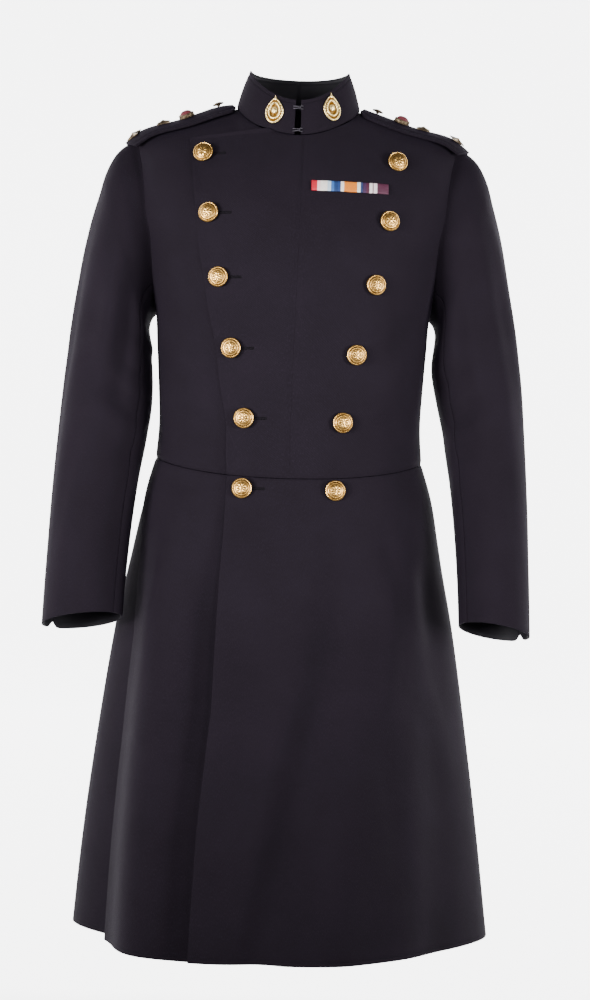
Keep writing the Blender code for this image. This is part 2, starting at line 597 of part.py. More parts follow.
def make_sleeves(cloth):
    last = len(SLEEVE) - 1
    parts = [0.0, 0.6, 1.2, 1.9, 2.7, 3.6, 4.5, 5.4, 6.3, 7.2, 8.1, 8.9, 9.7, 10.5, 11.4, 12.4,
             13.4, 14.4, 15.2, 16.0]
    top_count = round((HINDARM_SEAM[0] - FOREARM_SEAM[0]) / ARM_STEP)
    under_count = round((360.0 + FOREARM_SEAM[0] - HINDARM_SEAM[0]) / ARM_STEP)
    for side in ("left", "right"):
        for name, count, edges in (("sleeve_top_", top_count, (FOREARM_SEAM, HINDARM_SEAM)),
                                   ("sleeve_under_", under_count, (HINDARM_SEAM, FOREARM_SEAM))):
            outer, inner = [], []
            for part in parts:
                share = blend(0.0, last, part)
                start = edges[0][0] + (edges[0][1] - edges[0][0]) * share
                end = edges[1][0] + (edges[1][1] - edges[1][0]) * share
                if end < start:
                    end += 360.0
                trim = math.degrees(SEAM / 2.0 / SLEEVE_RADIUS)
                turns = [start + (end - start) * i / count for i in range(count + 1)]
                turns[0] += trim
                turns[-1] -= trim
                line = []
                for turn in turns:
                    spot = sleeve_start(side, turn) if part == 0.0 else sleeve_skin(side, part, turn)
                    line.append((spot, sleeve_normal(side, part, turn)))
                outer.append([spot for spot, _ in line])
                inner.append([spot - normal * WALL for spot, normal in line])
            wall(name + side, outer, inner, cloth)


def collar_point(height, degrees, depth=0.0):
    """A point of the collar; height 0 is its foot and 1 its upper edge."""
    fade = RISE_FADE["left" if degrees > 0 else "right"]
    rise = SEAM + SEAT + COLLAR_RISE * (1.0 - blend(*fade, abs(degrees)))
    foot = ring_point(BODICE[-1], degrees) + Vector((0.0, 0.0, rise))
    outward = Vector((foot.x, foot.y, 0.0)).normalized()
    foot += outward * COLLAR_LEAN
    top = ring_point(COLLAR_TOP, degrees)
    point = foot.lerp(top, height)
    belly = COLLAR_BELLY * math.sin(math.pi * height)
    return point + outward * (belly - depth)


def make_collar(cloth):
    levels = (0.0, 0.33, 0.67, 1.0)
    columns = 14
    for side, turn in (("left", 1.0), ("right", -1.0)):
        opening = math.degrees(COLLAR_GAP / BODICE[-1][0])
        outer, inner = [], []
        for level in levels:
            angles = [turn * (opening + (COLLAR_BACK - opening) * i / columns)
                      for i in range(columns + 1)]
            outer.append([collar_point(level, a) for a in angles])
            inner.append([collar_point(level, a, WALL) for a in angles])
        wall("collar_" + side, outer, inner, cloth)


def strap_point(side, along, across, lift):
    """A point over the shoulder; along is a row of the bodice, across runs front (-) to back."""
    if along < STRAP_SEWN_ROW:
        edge, normal = strap_point(side, STRAP_SEWN_ROW, across, lift)
        inside, _ = strap_point(side, STRAP_SEWN_ROW + 0.1, across, lift)
        return edge + (edge - inside) * (STRAP_SEWN_ROW - along) / 0.1, normal
    hand = 1.0 if side == "left" else -1.0
    values = section(BODICE, along)
    depth = abs(values[3] if across < 0 else values[5]) + values[1] * (1 if across < 0 else -1)
    share = min(abs(across) / depth, 0.95) ** (1.0 / values[7])
    degrees = 90.0 + math.copysign(math.degrees(math.asin(share)), across)
    return bodice(along, hand * degrees, lift), bodice_normal(along, hand * degrees)


def strap_lift(side, row):
    """How far the strap's underside is from the shoulder."""
    return curve_value(STRAP, row, 2 if side == "right" else 3)


def make_straps(cloth):
    columns = 6
    rows = [line[0] for line in STRAP]
    for side in ("left", "right"):
        outer, inner = [], []
        for row in rows:
            half = curve_value(STRAP, row, 1)
            lift = strap_lift(side, row) + STRAP_WALL
            line = [strap_point(side, row, half * (2.0 * i / columns - 1.0), lift)
                    for i in range(columns + 1)]
            outer.append([spot for spot, _ in line])
            inner.append([spot - normal * STRAP_WALL for spot, normal in line])
        wall("shoulder_strap_" + side, outer, inner, cloth)


def on_strap(side, row, across):
    """A place on top of a shoulder strap."""
    before, _ = strap_point(side, row - 0.10, across, strap_lift(side, row - 0.10))
    beyond, _ = strap_point(side, row + 0.10, across, strap_lift(side, row + 0.10))
    point, normal = strap_point(side, row, across, strap_lift(side, row) + STRAP_WALL)
    along = (beyond - before).normalized()
    normal = (normal - along * normal.dot(along)).normalized()
    return rest_on(f"shoulder_strap_{side}", point, normal, STRAP_SEAT), normal


def turned(name, profile, steps, place, look):
    """A turned piece: a profile of radius and height, spun round the normal of its seat."""
    bm = bmesh.new()
    line = [bm.verts.new((radius, 0.0, height)) for radius, height in profile]
    edges = [bm.edges.new(pair) for pair in zip(line, line[1:])]
    bmesh.ops.spin(bm, geom=line + edges, cent=(0, 0, 0), axis=(0, 0, 1), angle=2.0 * math.pi,
                   steps=steps, use_merge=True)
    bmesh.ops.remove_doubles(bm, verts=bm.verts, dist=1e-6)
    made = add_object(name, bm, look)
    made.matrix_world = place
    return made


def seat(point, normal, spin=0.0):
    """Placement of a piece whose own Z stands on a surface, its Y as near upwards as can be."""
    up = Vector((0.0, 0.0, 1.0)) - normal * normal.z
    if up.length < 0.2:
        up = Vector((0.0, -1.0, 0.0)) - normal * -normal.y
    up.normalize()
    side = up.cross(normal)
    basis = Matrix((side, up, normal)).transposed().to_4x4()
    return Matrix.Translation(point) @ basis @ Matrix.Rotation(spin, 4, "Z")


def rest_on(carrier, point, normal, gap=SEAT):
    """The place just above the carrier's surface, straight below a point."""
    hit, place, _, _ = bpy.data.objects[carrier].ray_cast(point + normal * 0.02, -normal)
    return (place if hit else point) + normal * gap


def front_seat(carrier, x, z):
    """Placement on a panel of the coat's front, at x and z."""
    table = BODICE if z > BUTTON_WAIST else SKIRT
    row = row_at_z(table, x, z)
    skin = bodice_skin if table is BODICE else skirt_skin
    point, normal = lifted(skin, row, angle_at_x(table, row, x), 0.0, len(table) - 1)
    upright = Vector((normal.x, normal.y, normal.z * BUTTON_LEVEL)).normalized()
    clear = SEAT + SHANK_SHARE * BUTTON_RADIUS * normal.cross(upright).length
    return seat(rest_on(carrier, point, normal, clear), upright)


def button_profile(radius, height):
    """Half section of a domed shank button, from the top of its dome to the foot of its shank."""
    return ((0.0, height), (radius * 0.45, height - radius * 0.07),
            (radius * 0.86, height - radius * 0.23), (radius, height - radius * 0.27),
            (radius, height - radius * 0.38), (radius * 0.30, height - radius * 0.42),
            (radius * SHANK_SHARE, 0.0), (0.0, 0.0))


def make_buttons(brass):
    profile = button_profile(BUTTON_RADIUS, BUTTON_HEIGHT)
    for number, (right_x, right_z, left_x, left_z) in enumerate(BUTTON_ROWS, 1):
        for side, x, z, carrier in (("right", right_x, right_z, "lapel_left"),
                                    ("left", left_x, left_z, "forepart_left")):
            carrier = "skirt_front_left" if z < BUTTON_WAIST else carrier
            turned(f"button_{side}_{number}", profile, BUTTON_STEPS, front_seat(carrier, x, z), brass)
    small = button_profile(SMALL_RADIUS, SMALL_HEIGHT)
    last = len(SLEEVE) - 1
    for side in ("left", "right"):
        for number, part in enumerate(CUFF_BUTTON_SECTIONS, 1):
            share = blend(0.0, last, part)
            turn = HINDARM_SEAM[0] + (HINDARM_SEAM[1] - HINDARM_SEAM[0]) * share + CUFF_BUTTON_TURN
            normal = sleeve_normal(side, part, turn)
            point = rest_on(f"sleeve_top_{side}", sleeve_skin(side, part, turn), normal)
            turned(f"cuff_button_{side}_{number}", small, SMALL_STEPS, seat(point, normal), brass)
        point, normal = on_strap(side, STRAP_BUTTON_ROW, 0.0)
        turned(f"strap_button_{side}", small, SMALL_STEPS, seat(point, normal), brass)


def outline_piece(name, outline, levels, place, look):
    """A flat ornament: one outline, drawn in and raised level by level, with a plain back."""
    bm = bmesh.new()
    rings = [[bm.verts.new((x * share, y * share, height)) for x, y in outline]
             for share, height in levels]
    count = len(outline)
    for low, high in zip(rings, rings[1:]):
        for i in range(count):
            bm.faces.new((low[i], low[(i + 1) % count], high[(i + 1) % count], high[i]))
    bm.faces.new(rings[0][::-1])
    bm.faces.new(rings[-1])
    made = add_object(name, bm, look)
    made.matrix_world = place
    return made


def star_outline(points, outer, inner):
    line = []
    for step in range(points * 2):
        reach = outer if step % 2 == 0 else inner
        angle = math.pi * step / points + math.pi / 2.0
        line.append((reach * math.cos(angle), reach * math.sin(angle)))
    return line


def badge_outline():
    """An upright oval with a shallow wave, for the wreath on the collar."""
    line = []
    for step in range(BADGE_STEPS):
        angle = 2.0 * math.pi * step / BADGE_STEPS + math.pi / 2.0
        wave = 1.0 + (BADGE_WAVE if step % 2 == 0 else -BADGE_WAVE)
        line.append((BADGE_HALF_WIDTH * wave * math.cos(angle),
                     BADGE_HALF_HEIGHT * wave * math.sin(angle)))
    return line


def make_badges(gilt):
    for side, turn, x in BADGES:
        degrees = math.degrees(math.asin(x / COLLAR_FRONT_RADIUS)) * turn
        along = collar_point(0.80, degrees) - collar_point(0.25, degrees)
        across = collar_point(0.5, degrees + 4.0) - collar_point(0.5, degrees - 4.0)
        normal = across.cross(along).normalized()
        place = seat(rest_on(f"collar_{side}", collar_point(0.53, degrees), normal), normal)
        outline_piece("collar_badge_" + side, badge_outline(), BADGE_LEVELS, place, gilt)


def make_strap_ornaments(brass, red):
    for side, outer_row, inner_row, crown_row in ORNAMENT_ROWS:
        for number, row in enumerate((outer_row, inner_row), 1):
            point, normal = on_strap(side, row, ORNAMENT_ACROSS)
            outline_piece(f"strap_star_{side}_{number}",
                          star_outline(STAR_POINTS, STAR_OUTER, STAR_INNER), STAR_LEVELS,
                          seat(point, normal), brass)
        base = seat(*on_strap(side, crown_row, ORNAMENT_ACROSS))
        turned(f"strap_crown_{side}", CROWN_PROFILE, BUTTON_STEPS, base, brass)
        turned(f"strap_cushion_{side}", CUSHION_PROFILE, BUTTON_STEPS, base, red)


def make_hooks(steel):
    """Hooks and eyes that hold the collar's front ends together."""
    for number, height in enumerate(HOOK_LEVELS, 1):
        middle = (collar_point(height, 4.0) + collar_point(height, -4.0)) / 2.0
        middle.y -= HOOK_RADIUS + SEAT
        bm = bmesh.new()
        bmesh.ops.create_cone(bm, cap_ends=True, segments=10, radius1=HOOK_RADIUS,
                              radius2=HOOK_RADIUS, depth=HOOK_LENGTH)
        made = add_object(f"collar_hook_{number}", bm, steel)
        made.matrix_world = Matrix.Translation(middle) @ Matrix.Rotation(math.pi / 2.0, 4, "Y")


def make_ribbons(looks):
    """Three ribbons on one bar, worn high on the wearer's left breast."""
    start, end = RIBBON_START, RIBBON_END
    top, foot = RIBBON_TOP, RIBBON_FOOT
    width = (end - start) / 3.0
    for number in range(3):
        outer, inner = [], []
        for level in range(3):
            line_out, line_in = [], []
            for i in range(5):
                x = start + number * width + (width - SEAT) * i / 4.0
                z = foot + (top - foot) * level / 2.0 - RIBBON_SLOPE * (x - start) / (end - start)
                row = row_at_z(BODICE, x, z)
                degrees = angle_at_x(BODICE, row, x)
                base = lap_lift(degrees) + RIBBON_SEAT
                line_in.append(bodice(row, degrees, base))
                line_out.append(bodice(row, degrees, base + RIBBON_WALL))
            outer.append(line_out)
            inner.append(line_in)
        wall(f"ribbon_{number + 1}", outer, inner, looks[number])


def main():
    clear_scene()
    cloth = material("navy_wool", CLOTH, 0.85)
    brass = material("brass", BRASS, 0.32, 1.0)
    make_bodice(cloth)
    make_skirts(cloth)
    make_sleeves(cloth)
    make_collar(cloth)
    make_straps(cloth)
    make_buttons(brass)
    make_badges(material("gilt", GILT, 0.28, 1.0))
    make_strap_ornaments(brass, material("red_velvet", RED_VELVET, 0.8))
    make_ribbons([material(name, colour, 0.6) for name, colour in RIBBON_COLOURS])
    make_hooks(material("plated_steel", STEEL, 0.35, 1.0))


main()
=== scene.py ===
"""Double-breasted military frock coat in its worn shape, with nobody in it.

Metres, +Z up, the front faces -Y and the wearer's left is +X, as in the frame.
"""
import math

import bmesh
import bpy
from mathutils import Matrix, Vector


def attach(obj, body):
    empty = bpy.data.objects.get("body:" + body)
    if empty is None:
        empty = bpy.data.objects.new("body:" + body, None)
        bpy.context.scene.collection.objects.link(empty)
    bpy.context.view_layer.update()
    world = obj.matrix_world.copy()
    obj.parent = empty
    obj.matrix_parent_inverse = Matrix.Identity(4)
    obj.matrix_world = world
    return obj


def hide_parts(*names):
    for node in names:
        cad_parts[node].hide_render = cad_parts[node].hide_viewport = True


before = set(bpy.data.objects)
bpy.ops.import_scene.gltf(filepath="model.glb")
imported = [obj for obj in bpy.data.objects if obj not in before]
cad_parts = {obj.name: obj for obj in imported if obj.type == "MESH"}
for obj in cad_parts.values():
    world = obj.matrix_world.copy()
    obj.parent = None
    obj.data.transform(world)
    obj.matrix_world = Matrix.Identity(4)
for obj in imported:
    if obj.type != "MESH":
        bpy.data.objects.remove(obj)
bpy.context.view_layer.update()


# Broadcloth and its lining.
# The coat is cut from a fine woollen broadcloth, milled until the weave closes, then brushed and
# cropped, which leaves a short nap that lies downwards. The inside is a black cotton sateen.
def linear(code):
    """A hex sRGB colour as linear red, green, blue and alpha."""
    channels = [int(code[i:i + 2], 16) / 255.0 for i in (1, 3, 5)]
    return tuple(c / 12.92 if c <= 0.04045 else ((c + 0.055) / 1.055) ** 2.4 for c in channels) + (1.0,)


def add_node(tree, kind, sockets, **settings):
    """Adds a node; sockets maps an input's name to a value, or to an output to link."""
    made = tree.nodes.new(kind)
    for name, value in settings.items():
        setattr(made, name, value)
    for name, value in sockets.items():
        if isinstance(value, bpy.types.NodeSocket):
            tree.links.new(value, made.inputs[name])
        else:
            made.inputs[name].default_value = value
    return made


def start_material(name, roughness, metallic=0.0):
    """A material and its shader, with the two values that every finish has."""
    made = bpy.data.materials.new(name)
    made.use_nodes = True
    shader = made.node_tree.nodes["Principled BSDF"]
    shader.inputs["Roughness"].default_value = roughness
    shader.inputs["Metallic"].default_value = metallic
    return made, shader


def make_broadcloth(name, dark, light, fibre, nap_strength):
    """Milled wool: matt, with a pale bloom at grazing angles from the nap's fibre ends."""
    made, shader = start_material(name, 0.88)
    tree = made.node_tree
    place = add_node(tree, "ShaderNodeTexCoord", {})
    # brushing leaves broad patches, about 70 mm across, a little lighter or darker
    patches = add_node(tree, "ShaderNodeTexNoise", {
        "Vector": place.outputs["Object"], "Scale": 14.0, "Detail": 3.0, "Roughness": 0.55})
    ground = add_node(tree, "ShaderNodeMix", {
        "Factor": patches.outputs["Fac"], "A": linear(dark), "B": linear(light)}, data_type="RGBA")
    # nap: fibres 0.5 mm by 3 mm, several times their real size so that they show
    stretched = add_node(tree, "ShaderNodeMapping", {
        "Vector": place.outputs["UV"], "Scale": (2000.0, 330.0, 1.0)})
    nap = add_node(tree, "ShaderNodeTexNoise", {
        "Vector": stretched.outputs["Vector"], "Scale": 1.0, "Detail": 2.0, "Roughness": 0.6})
    few = add_node(tree, "ShaderNodeMapRange", {
        "Value": nap.outputs["Fac"], "From Min": 0.50, "From Max": 0.80, "To Max": 0.55})
    colour = add_node(tree, "ShaderNodeMix", {
        "Factor": few.outputs["Result"], "A": ground.outputs["Result"], "B": linear(fibre)},
        data_type="RGBA")
    tree.links.new(colour.outputs["Result"], shader.inputs["Base Color"])
    # what is left of the twill under the nap: ribs 1.4 mm apart, drawn coarser than the real 0.5 mm
    twill = add_node(tree, "ShaderNodeTexWave", {
        "Vector": place.outputs["UV"], "Scale": 225.0, "Distortion": 1.2, "Detail": 1.0,
        "Detail Scale": 40.0}, bands_direction="DIAGONAL")
    # the cloth is never quite flat: soft cockles about 25 mm across
    cockle = add_node(tree, "ShaderNodeTexNoise", {
        "Vector": place.outputs["Object"], "Scale": 38.0, "Detail": 2.0})
    soft = add_node(tree, "ShaderNodeBump", {
        "Height": cockle.outputs["Fac"], "Strength": 0.35, "Distance": 0.0016})
    ribs = add_node(tree, "ShaderNodeBump", {
        "Height": twill.outputs["Fac"], "Strength": 0.16, "Distance": 0.0003,
        "Normal": soft.outputs["Normal"]})
    hairs = add_node(tree, "ShaderNodeBump", {
        "Height": nap.outputs["Fac"], "Strength": nap_strength, "Distance": 0.0004,
        "Normal": ribs.outputs["Normal"]})
    tree.links.new(hairs.outputs["Normal"], shader.inputs["Normal"])
    shader.inputs["Specular IOR Level"].default_value = 0.05
    shader.inputs["Sheen Weight"].default_value = 0.022
    shader.inputs["Sheen Roughness"].default_value = 0.45
    shader.inputs["Sheen Tint"].default_value = linear("#A48FC2")
    return made


broadcloth = make_broadcloth("navy_milled_wool_broadcloth", "#110D12", "#19141B", "#27222B", 0.40)

# sateen: long floats of cotton give a dull gloss and very fine lines across the piece
sateen, shader = start_material("black_cotton_sateen", 0.60)
place = add_node(sateen.node_tree, "ShaderNodeTexCoord", {})
floats = add_node(sateen.node_tree, "ShaderNodeTexWave", {
    "Vector": place.outputs["UV"], "Scale": 260.0, "Distortion": 0.8}, bands_direction="Y")
worn = add_node(sateen.node_tree, "ShaderNodeTexNoise", {
    "Vector": place.outputs["Object"], "Scale": 22.0, "Detail": 3.0})
tone = add_node(sateen.node_tree, "ShaderNodeMix", {
    "Factor": worn.outputs["Fac"], "A": linear("#121114"), "B": linear("#1E1C21")}, data_type="RGBA")
sateen.node_tree.links.new(tone.outputs["Result"], shader.inputs["Base Color"])
lines = add_node(sateen.node_tree, "ShaderNodeBump", {
    "Height": floats.outputs["Fac"], "Strength": 0.15, "Distance": 0.0002})
sateen.node_tree.links.new(lines.outputs["Normal"], shader.inputs["Normal"])
shader.inputs["Specular IOR Level"].default_value = 0.12


# Backs and sidebodies.
# Two backs meet in the middle and a narrow sidebody fills in under each arm. They are sewn edge to
# edge and pressed open, so a seam is a fine valley.
WALL = 0.0020
SEAM = 0.0004            # width of an open seam
HAND = {"left": 1.0, "right": -1.0}      # sign of X on the wearer's left and right
WAIST_ROW, NECK_ROW = 0.005, 9.98        # the cloth ends just short of the waist and collar seams
# sections from the waist up.  columns: side_x side_y side_z front_y front_z back_y back_z square
BODICE = (
    (0.1690, 0.000, -0.4455, -0.1130, -0.4690, 0.0780, -0.4450, 0.88),   # waist seam
    (0.1660, 0.000, -0.4000, -0.1145, -0.4150, 0.0770, -0.3950, 0.87),
    (0.1680, 0.000, -0.3520, -0.1190, -0.3600, 0.0860, -0.3450, 0.86),
    (0.1710, 0.000, -0.3050, -0.1245, -0.3080, 0.0980, -0.2950, 0.85),
    (0.1745, 0.001, -0.2580, -0.1280, -0.2550, 0.1080, -0.2420, 0.84),   # foot of the armhole
    (0.1860, 0.002, -0.2050, -0.1270, -0.2000, 0.1140, -0.1880, 0.84),
    (0.1960, 0.003, -0.1500, -0.1190, -0.1500, 0.1140, -0.1330, 0.84),
    (0.2010, 0.006, -0.0950, -0.1040, -0.1130, 0.1070, -0.0850, 0.90),
    (0.2020, 0.010, -0.0410, -0.0880, -0.0830, 0.0960, -0.0450, 1.10),   # shoulder point
    (0.1410, 0.006, -0.0190, -0.0720, -0.0590, 0.0790, -0.0150, 1.06),
    (0.0765, 0.000, 0.0022, -0.0600, -0.0400, 0.0610, 0.0130, 1.00),     # collar seam
)
# armhole: an egg, by angle round the body and by row
ARM_TOP_ROW, ARM_FOOT_ROW = 8.0, 4.0
ARM_TOP_ANGLE, ARM_FOOT_ANGLE = 90.0, 98.0
ARM_REACH_FRONT, ARM_REACH_BACK = 27.0, 25.0
SIDE_SEAM = 98.0
# seam between the back and the sidebody.  columns: row angle
BACK_SEAM = ((0.0, 162.0), (2.0, 158.0), (3.5, 150.0), (5.0, 135.0), (6.0, 122.5), (6.5176, 118.2))
ROWS_TO_ARM, ROWS_AT_ARM, ROWS_TO_NECK = 36, 44, 22
EDGE_PUSH = 0.00015      # pressed-open edges push against each other
EDGE_CROWDING = 0.80     # how much closer the grid's lines lie near an edge
VALLEY, VALLEY_WIDTH = 0.0011, 0.0022
EDGE_ANGLE = 50.0        # edges sharper than this many degrees are rounded as turned cloth
CREASE_HALF, CREASE_END = 0.42, 1.1      # a crease fades past these shares of its length
ROW_STEP, TURN_STEP = 0.02, 0.5          # steps in which a slope is measured
LEVEL_ROWS, SMOOTH_ROWS = 0.6, 0.5       # near the waist seam: no slope, no creases
# drag lines and dents of the bodice.  columns: start x z, end x z, half-width, height, face
BODICE_CREASES = (
    (0.013, -0.140, 0.029, -0.186, 0.0050, -0.0016, -1),     # from the ribbon bar to the middle
    (-0.158, -0.262, -0.112, -0.318, 0.0120, -0.0022, -1),   # drag below each armhole
    (-0.150, -0.300, -0.118, -0.352, 0.0100, 0.0014, -1),
    (0.160, -0.255, 0.118, -0.322, 0.0120, -0.0024, -1),
    (0.152, -0.312, 0.122, -0.360, 0.0100, 0.0014, -1),
    (-0.150, -0.386, -0.095, -0.404, 0.0090, -0.0016, -1),   # cross folds over the waist
    (-0.146, -0.424, -0.100, -0.432, 0.0070, -0.0012, -1),
    (0.150, -0.392, 0.092, -0.398, 0.0090, -0.0016, -1),
    (0.148, -0.428, 0.100, -0.430, 0.0070, -0.0012, -1),
    (-0.128, -0.150, -0.142, -0.205, 0.0110, -0.0022, -1),   # hollow in front of each arm
    (0.130, -0.148, 0.142, -0.200, 0.0110, -0.0020, -1),
    (-0.090, -0.062, -0.128, -0.086, 0.0080, -0.0016, -1),   # from the neck to the shoulder
    (0.078, -0.056, 0.118, -0.082, 0.0080, -0.0014, -1),
    (0.030, -0.060, 0.052, -0.092, 0.0070, -0.0010, -1),
    (-0.0785, -0.008, -0.0800, -0.036, 0.0055, -0.0026, -1),  # folds beside the collar, on the right
    (-0.084, -0.010, -0.100, -0.026, 0.0050, -0.0018, -1),
    (-0.108, -0.120, -0.150, -0.215, 0.0130, -0.0026, 1),    # behind each arm
    (0.110, -0.118, 0.150, -0.212, 0.0130, -0.0026, 1),
    (-0.120, -0.250, -0.070, -0.330, 0.0120, -0.0018, 1),
    (0.122, -0.258, 0.068, -0.322, 0.0120, -0.0018, 1),
    (-0.110, -0.388, -0.030, -0.402, 0.0090, -0.0018, 1),    # across the hollow of the back
    (0.112, -0.394, 0.034, -0.398, 0.0090, -0.0016, 1),
    (-0.082, -0.424, -0.020, -0.430, 0.0070, -0.0012, 1),
    (0.030, -0.422, 0.090, -0.428, 0.0070, -0.0012, 1),
    (-0.050, -0.020, -0.020, -0.060, 0.0120, -0.0012, 1),
    (-0.181, -0.066, -0.187, -0.165, 0.0220, 0.0055, -1),    # canvas fills the front out at the armhole
    (0.181, -0.066, 0.187, -0.165, 0.0220, 0.0055, -1),
)


def blend(low, high, value):
    """0 below low, 1 above high, smooth between."""
    share = min(max((value - low) / (high - low), 0.0), 1.0)
    return share * share * (3.0 - 2.0 * share)


def curve_value(table, at, column=1):
    """Reads a column of a table whose first column rises or falls steadily, by straight steps."""
    rows = table if table[0][0] < table[-1][0] else table[::-1]
    if at <= rows[0][0]:
        return rows[0][column]
    for low, high in zip(rows, rows[1:]):
        if at <= high[0]:
            share = (at - low[0]) / (high[0] - low[0])
            return low[column] + share * (high[column] - low[column])
    return rows[-1][column]


def section(table, row):
    """A section between two rows of a table, on a smooth curve through all the rows."""
    last = len(table) - 1
    index = min(max(int(math.floor(row)), 0), last - 1)
    share = row - index
    square, cube = share * share, share ** 3
    weights = (2 * cube - 3 * square + 1, cube - 2 * square + share, 3 * square - 2 * cube, cube - square)
    values = []
    for a, b, c, d in zip(table[max(index - 1, 0)], table[index], table[index + 1],
                          table[min(index + 2, last)]):
        slope_in = c - b if index == 0 else (c - a) / 2.0
        slope_out = c - b if index == last - 1 else (d - b) / 2.0
        values.append(weights[0] * b + weights[1] * slope_in + weights[2] * c + weights[3] * slope_out)
    return values


def ring_point(values, degrees):
    """A point of a section. 0 is the front, 90 the wearer's left, -90 the right, 180 the back."""
    side_x, side_y, side_z, front_y, front_z, back_y, back_z, square = values
    angle = math.radians(degrees)
    across, along = math.sin(angle), math.cos(angle)
    far_y, far_z = (front_y, front_z) if along > 0 else (back_y, back_z)
    reach = abs(along)
    return Vector((side_x * math.copysign(abs(across) ** square, across),
                   side_y + (far_y - side_y) * reach ** square,
                   side_z + (far_z - side_z) * reach ** 1.5))


def bodice_skin(row, degrees):
    """A plain point of the bodice."""
    return ring_point(section(BODICE, row), degrees)


def crease_height(creases, point):
    """How far drag lines raise or sink the cloth at a point."""
    height = 0.0
    for start_x, start_z, end_x, end_z, width, crest, face in creases:
        if point.y * face < 0.0:
            continue
        along_x, along_z = end_x - start_x, end_z - start_z
        length = math.hypot(along_x, along_z)
        from_x, from_z = point.x - start_x, point.z - start_z
        share = (from_x * along_x + from_z * along_z) / length ** 2
        if abs(share - 0.5) < CREASE_END:
            away = (from_x * along_z - from_z * along_x) / length
            middle = (share - 0.5) / CREASE_HALF
            height += crest * math.exp(-(away / width) ** 2 - middle ** 4)
    return height


def surface(skin, table, creases, row, degrees, lift=0.0):
    """A point of the body's cloth and its outward normal; creases add to the lift."""
    low, high = max(row - ROW_STEP, 0.0), min(row + ROW_STEP, len(table) - 1)
    along = skin(high, degrees) - skin(low, degrees)
    if table is not BODICE:
        along.negate()
    across = skin(row, degrees + TURN_STEP) - skin(row, degrees - TURN_STEP)
    normal = across.cross(along).normalized()
    # both sides of the waist seam are level there, so that their edges meet
    normal.z *= blend(0.0, LEVEL_ROWS, row)
    normal.normalize()
    point = skin(row, degrees)
    crease = crease_height(creases, point) * blend(0.0, SMOOTH_ROWS, row)
    return point + normal * (lift + crease), normal


def bodice(row, degrees, lift=0.0):
    """A point of the bodice's cloth and its normal."""
    return surface(bodice_skin, BODICE, BODICE_CREASES, row, degrees, lift)


def push_degrees(row, table=BODICE):
    """The angle by which an edge reaches over the line of its seam."""
    return math.degrees(EDGE_PUSH / section(table, row)[0])


def armhole_angle(turn):
    """Angle round the body of the armhole's point at a turn; 0 top, -90 front, 90 back."""
    around = math.radians(turn)
    middle = (ARM_TOP_ANGLE + ARM_FOOT_ANGLE) / 2.0
    swing = (ARM_FOOT_ANGLE - ARM_TOP_ANGLE) / 2.0
    reach = ARM_REACH_BACK if math.sin(around) > 0 else ARM_REACH_FRONT
    return middle - swing * math.cos(around) + reach * math.sin(around)


def armhole_row(turn):
    """The armhole's row at a turn."""
    middle = (ARM_TOP_ROW + ARM_FOOT_ROW) / 2.0
    return middle + (ARM_TOP_ROW - ARM_FOOT_ROW) / 2.0 * math.cos(math.radians(turn))


def armhole_turn(row):
    """The armhole's turn at a row, from 0 at its top to 180 at its foot."""
    half = (ARM_TOP_ROW - ARM_FOOT_ROW) / 2.0
    return math.degrees(math.acos(min(max((row - ARM_FOOT_ROW - half) / half, -1.0), 1.0)))


def front_limit(row):
    """Rear edge of a forepart: side seam, armhole, then shoulder seam."""
    if row <= ARM_FOOT_ROW:
        return SIDE_SEAM
    return 90.0 if row >= ARM_TOP_ROW else armhole_angle(-armhole_turn(row))


def back_limit(row):
    """Front edge of a back: the seam to the sidebody, armhole, then shoulder seam."""
    if row <= BACK_SEAM[-1][0] + 0.001:
        return curve_value(BACK_SEAM, row)
    return 90.0 if row >= ARM_TOP_ROW else armhole_angle(armhole_turn(row))


def sidebody_limit(row):
    """Front edge of a sidebody: side seam, then the back of the armhole."""
    return SIDE_SEAM if row <= ARM_FOOT_ROW else armhole_angle(armhole_turn(row))


def steps(start, end, count):
    """Even steps from start on, without the end."""
    return [start + (end - start) * i / count for i in range(count)]


def link_mesh(name, bm, *looks):
    """Makes a smooth object of a finished bmesh."""
    for face in bm.faces:
        face.smooth = True
    mesh = bpy.data.meshes.new(name)
    bm.to_mesh(mesh)
    bm.free()
    for look in looks:
        mesh.materials.append(look)
    made = bpy.data.objects.new(name, mesh)
    bpy.context.scene.collection.objects.link(made)
    return made


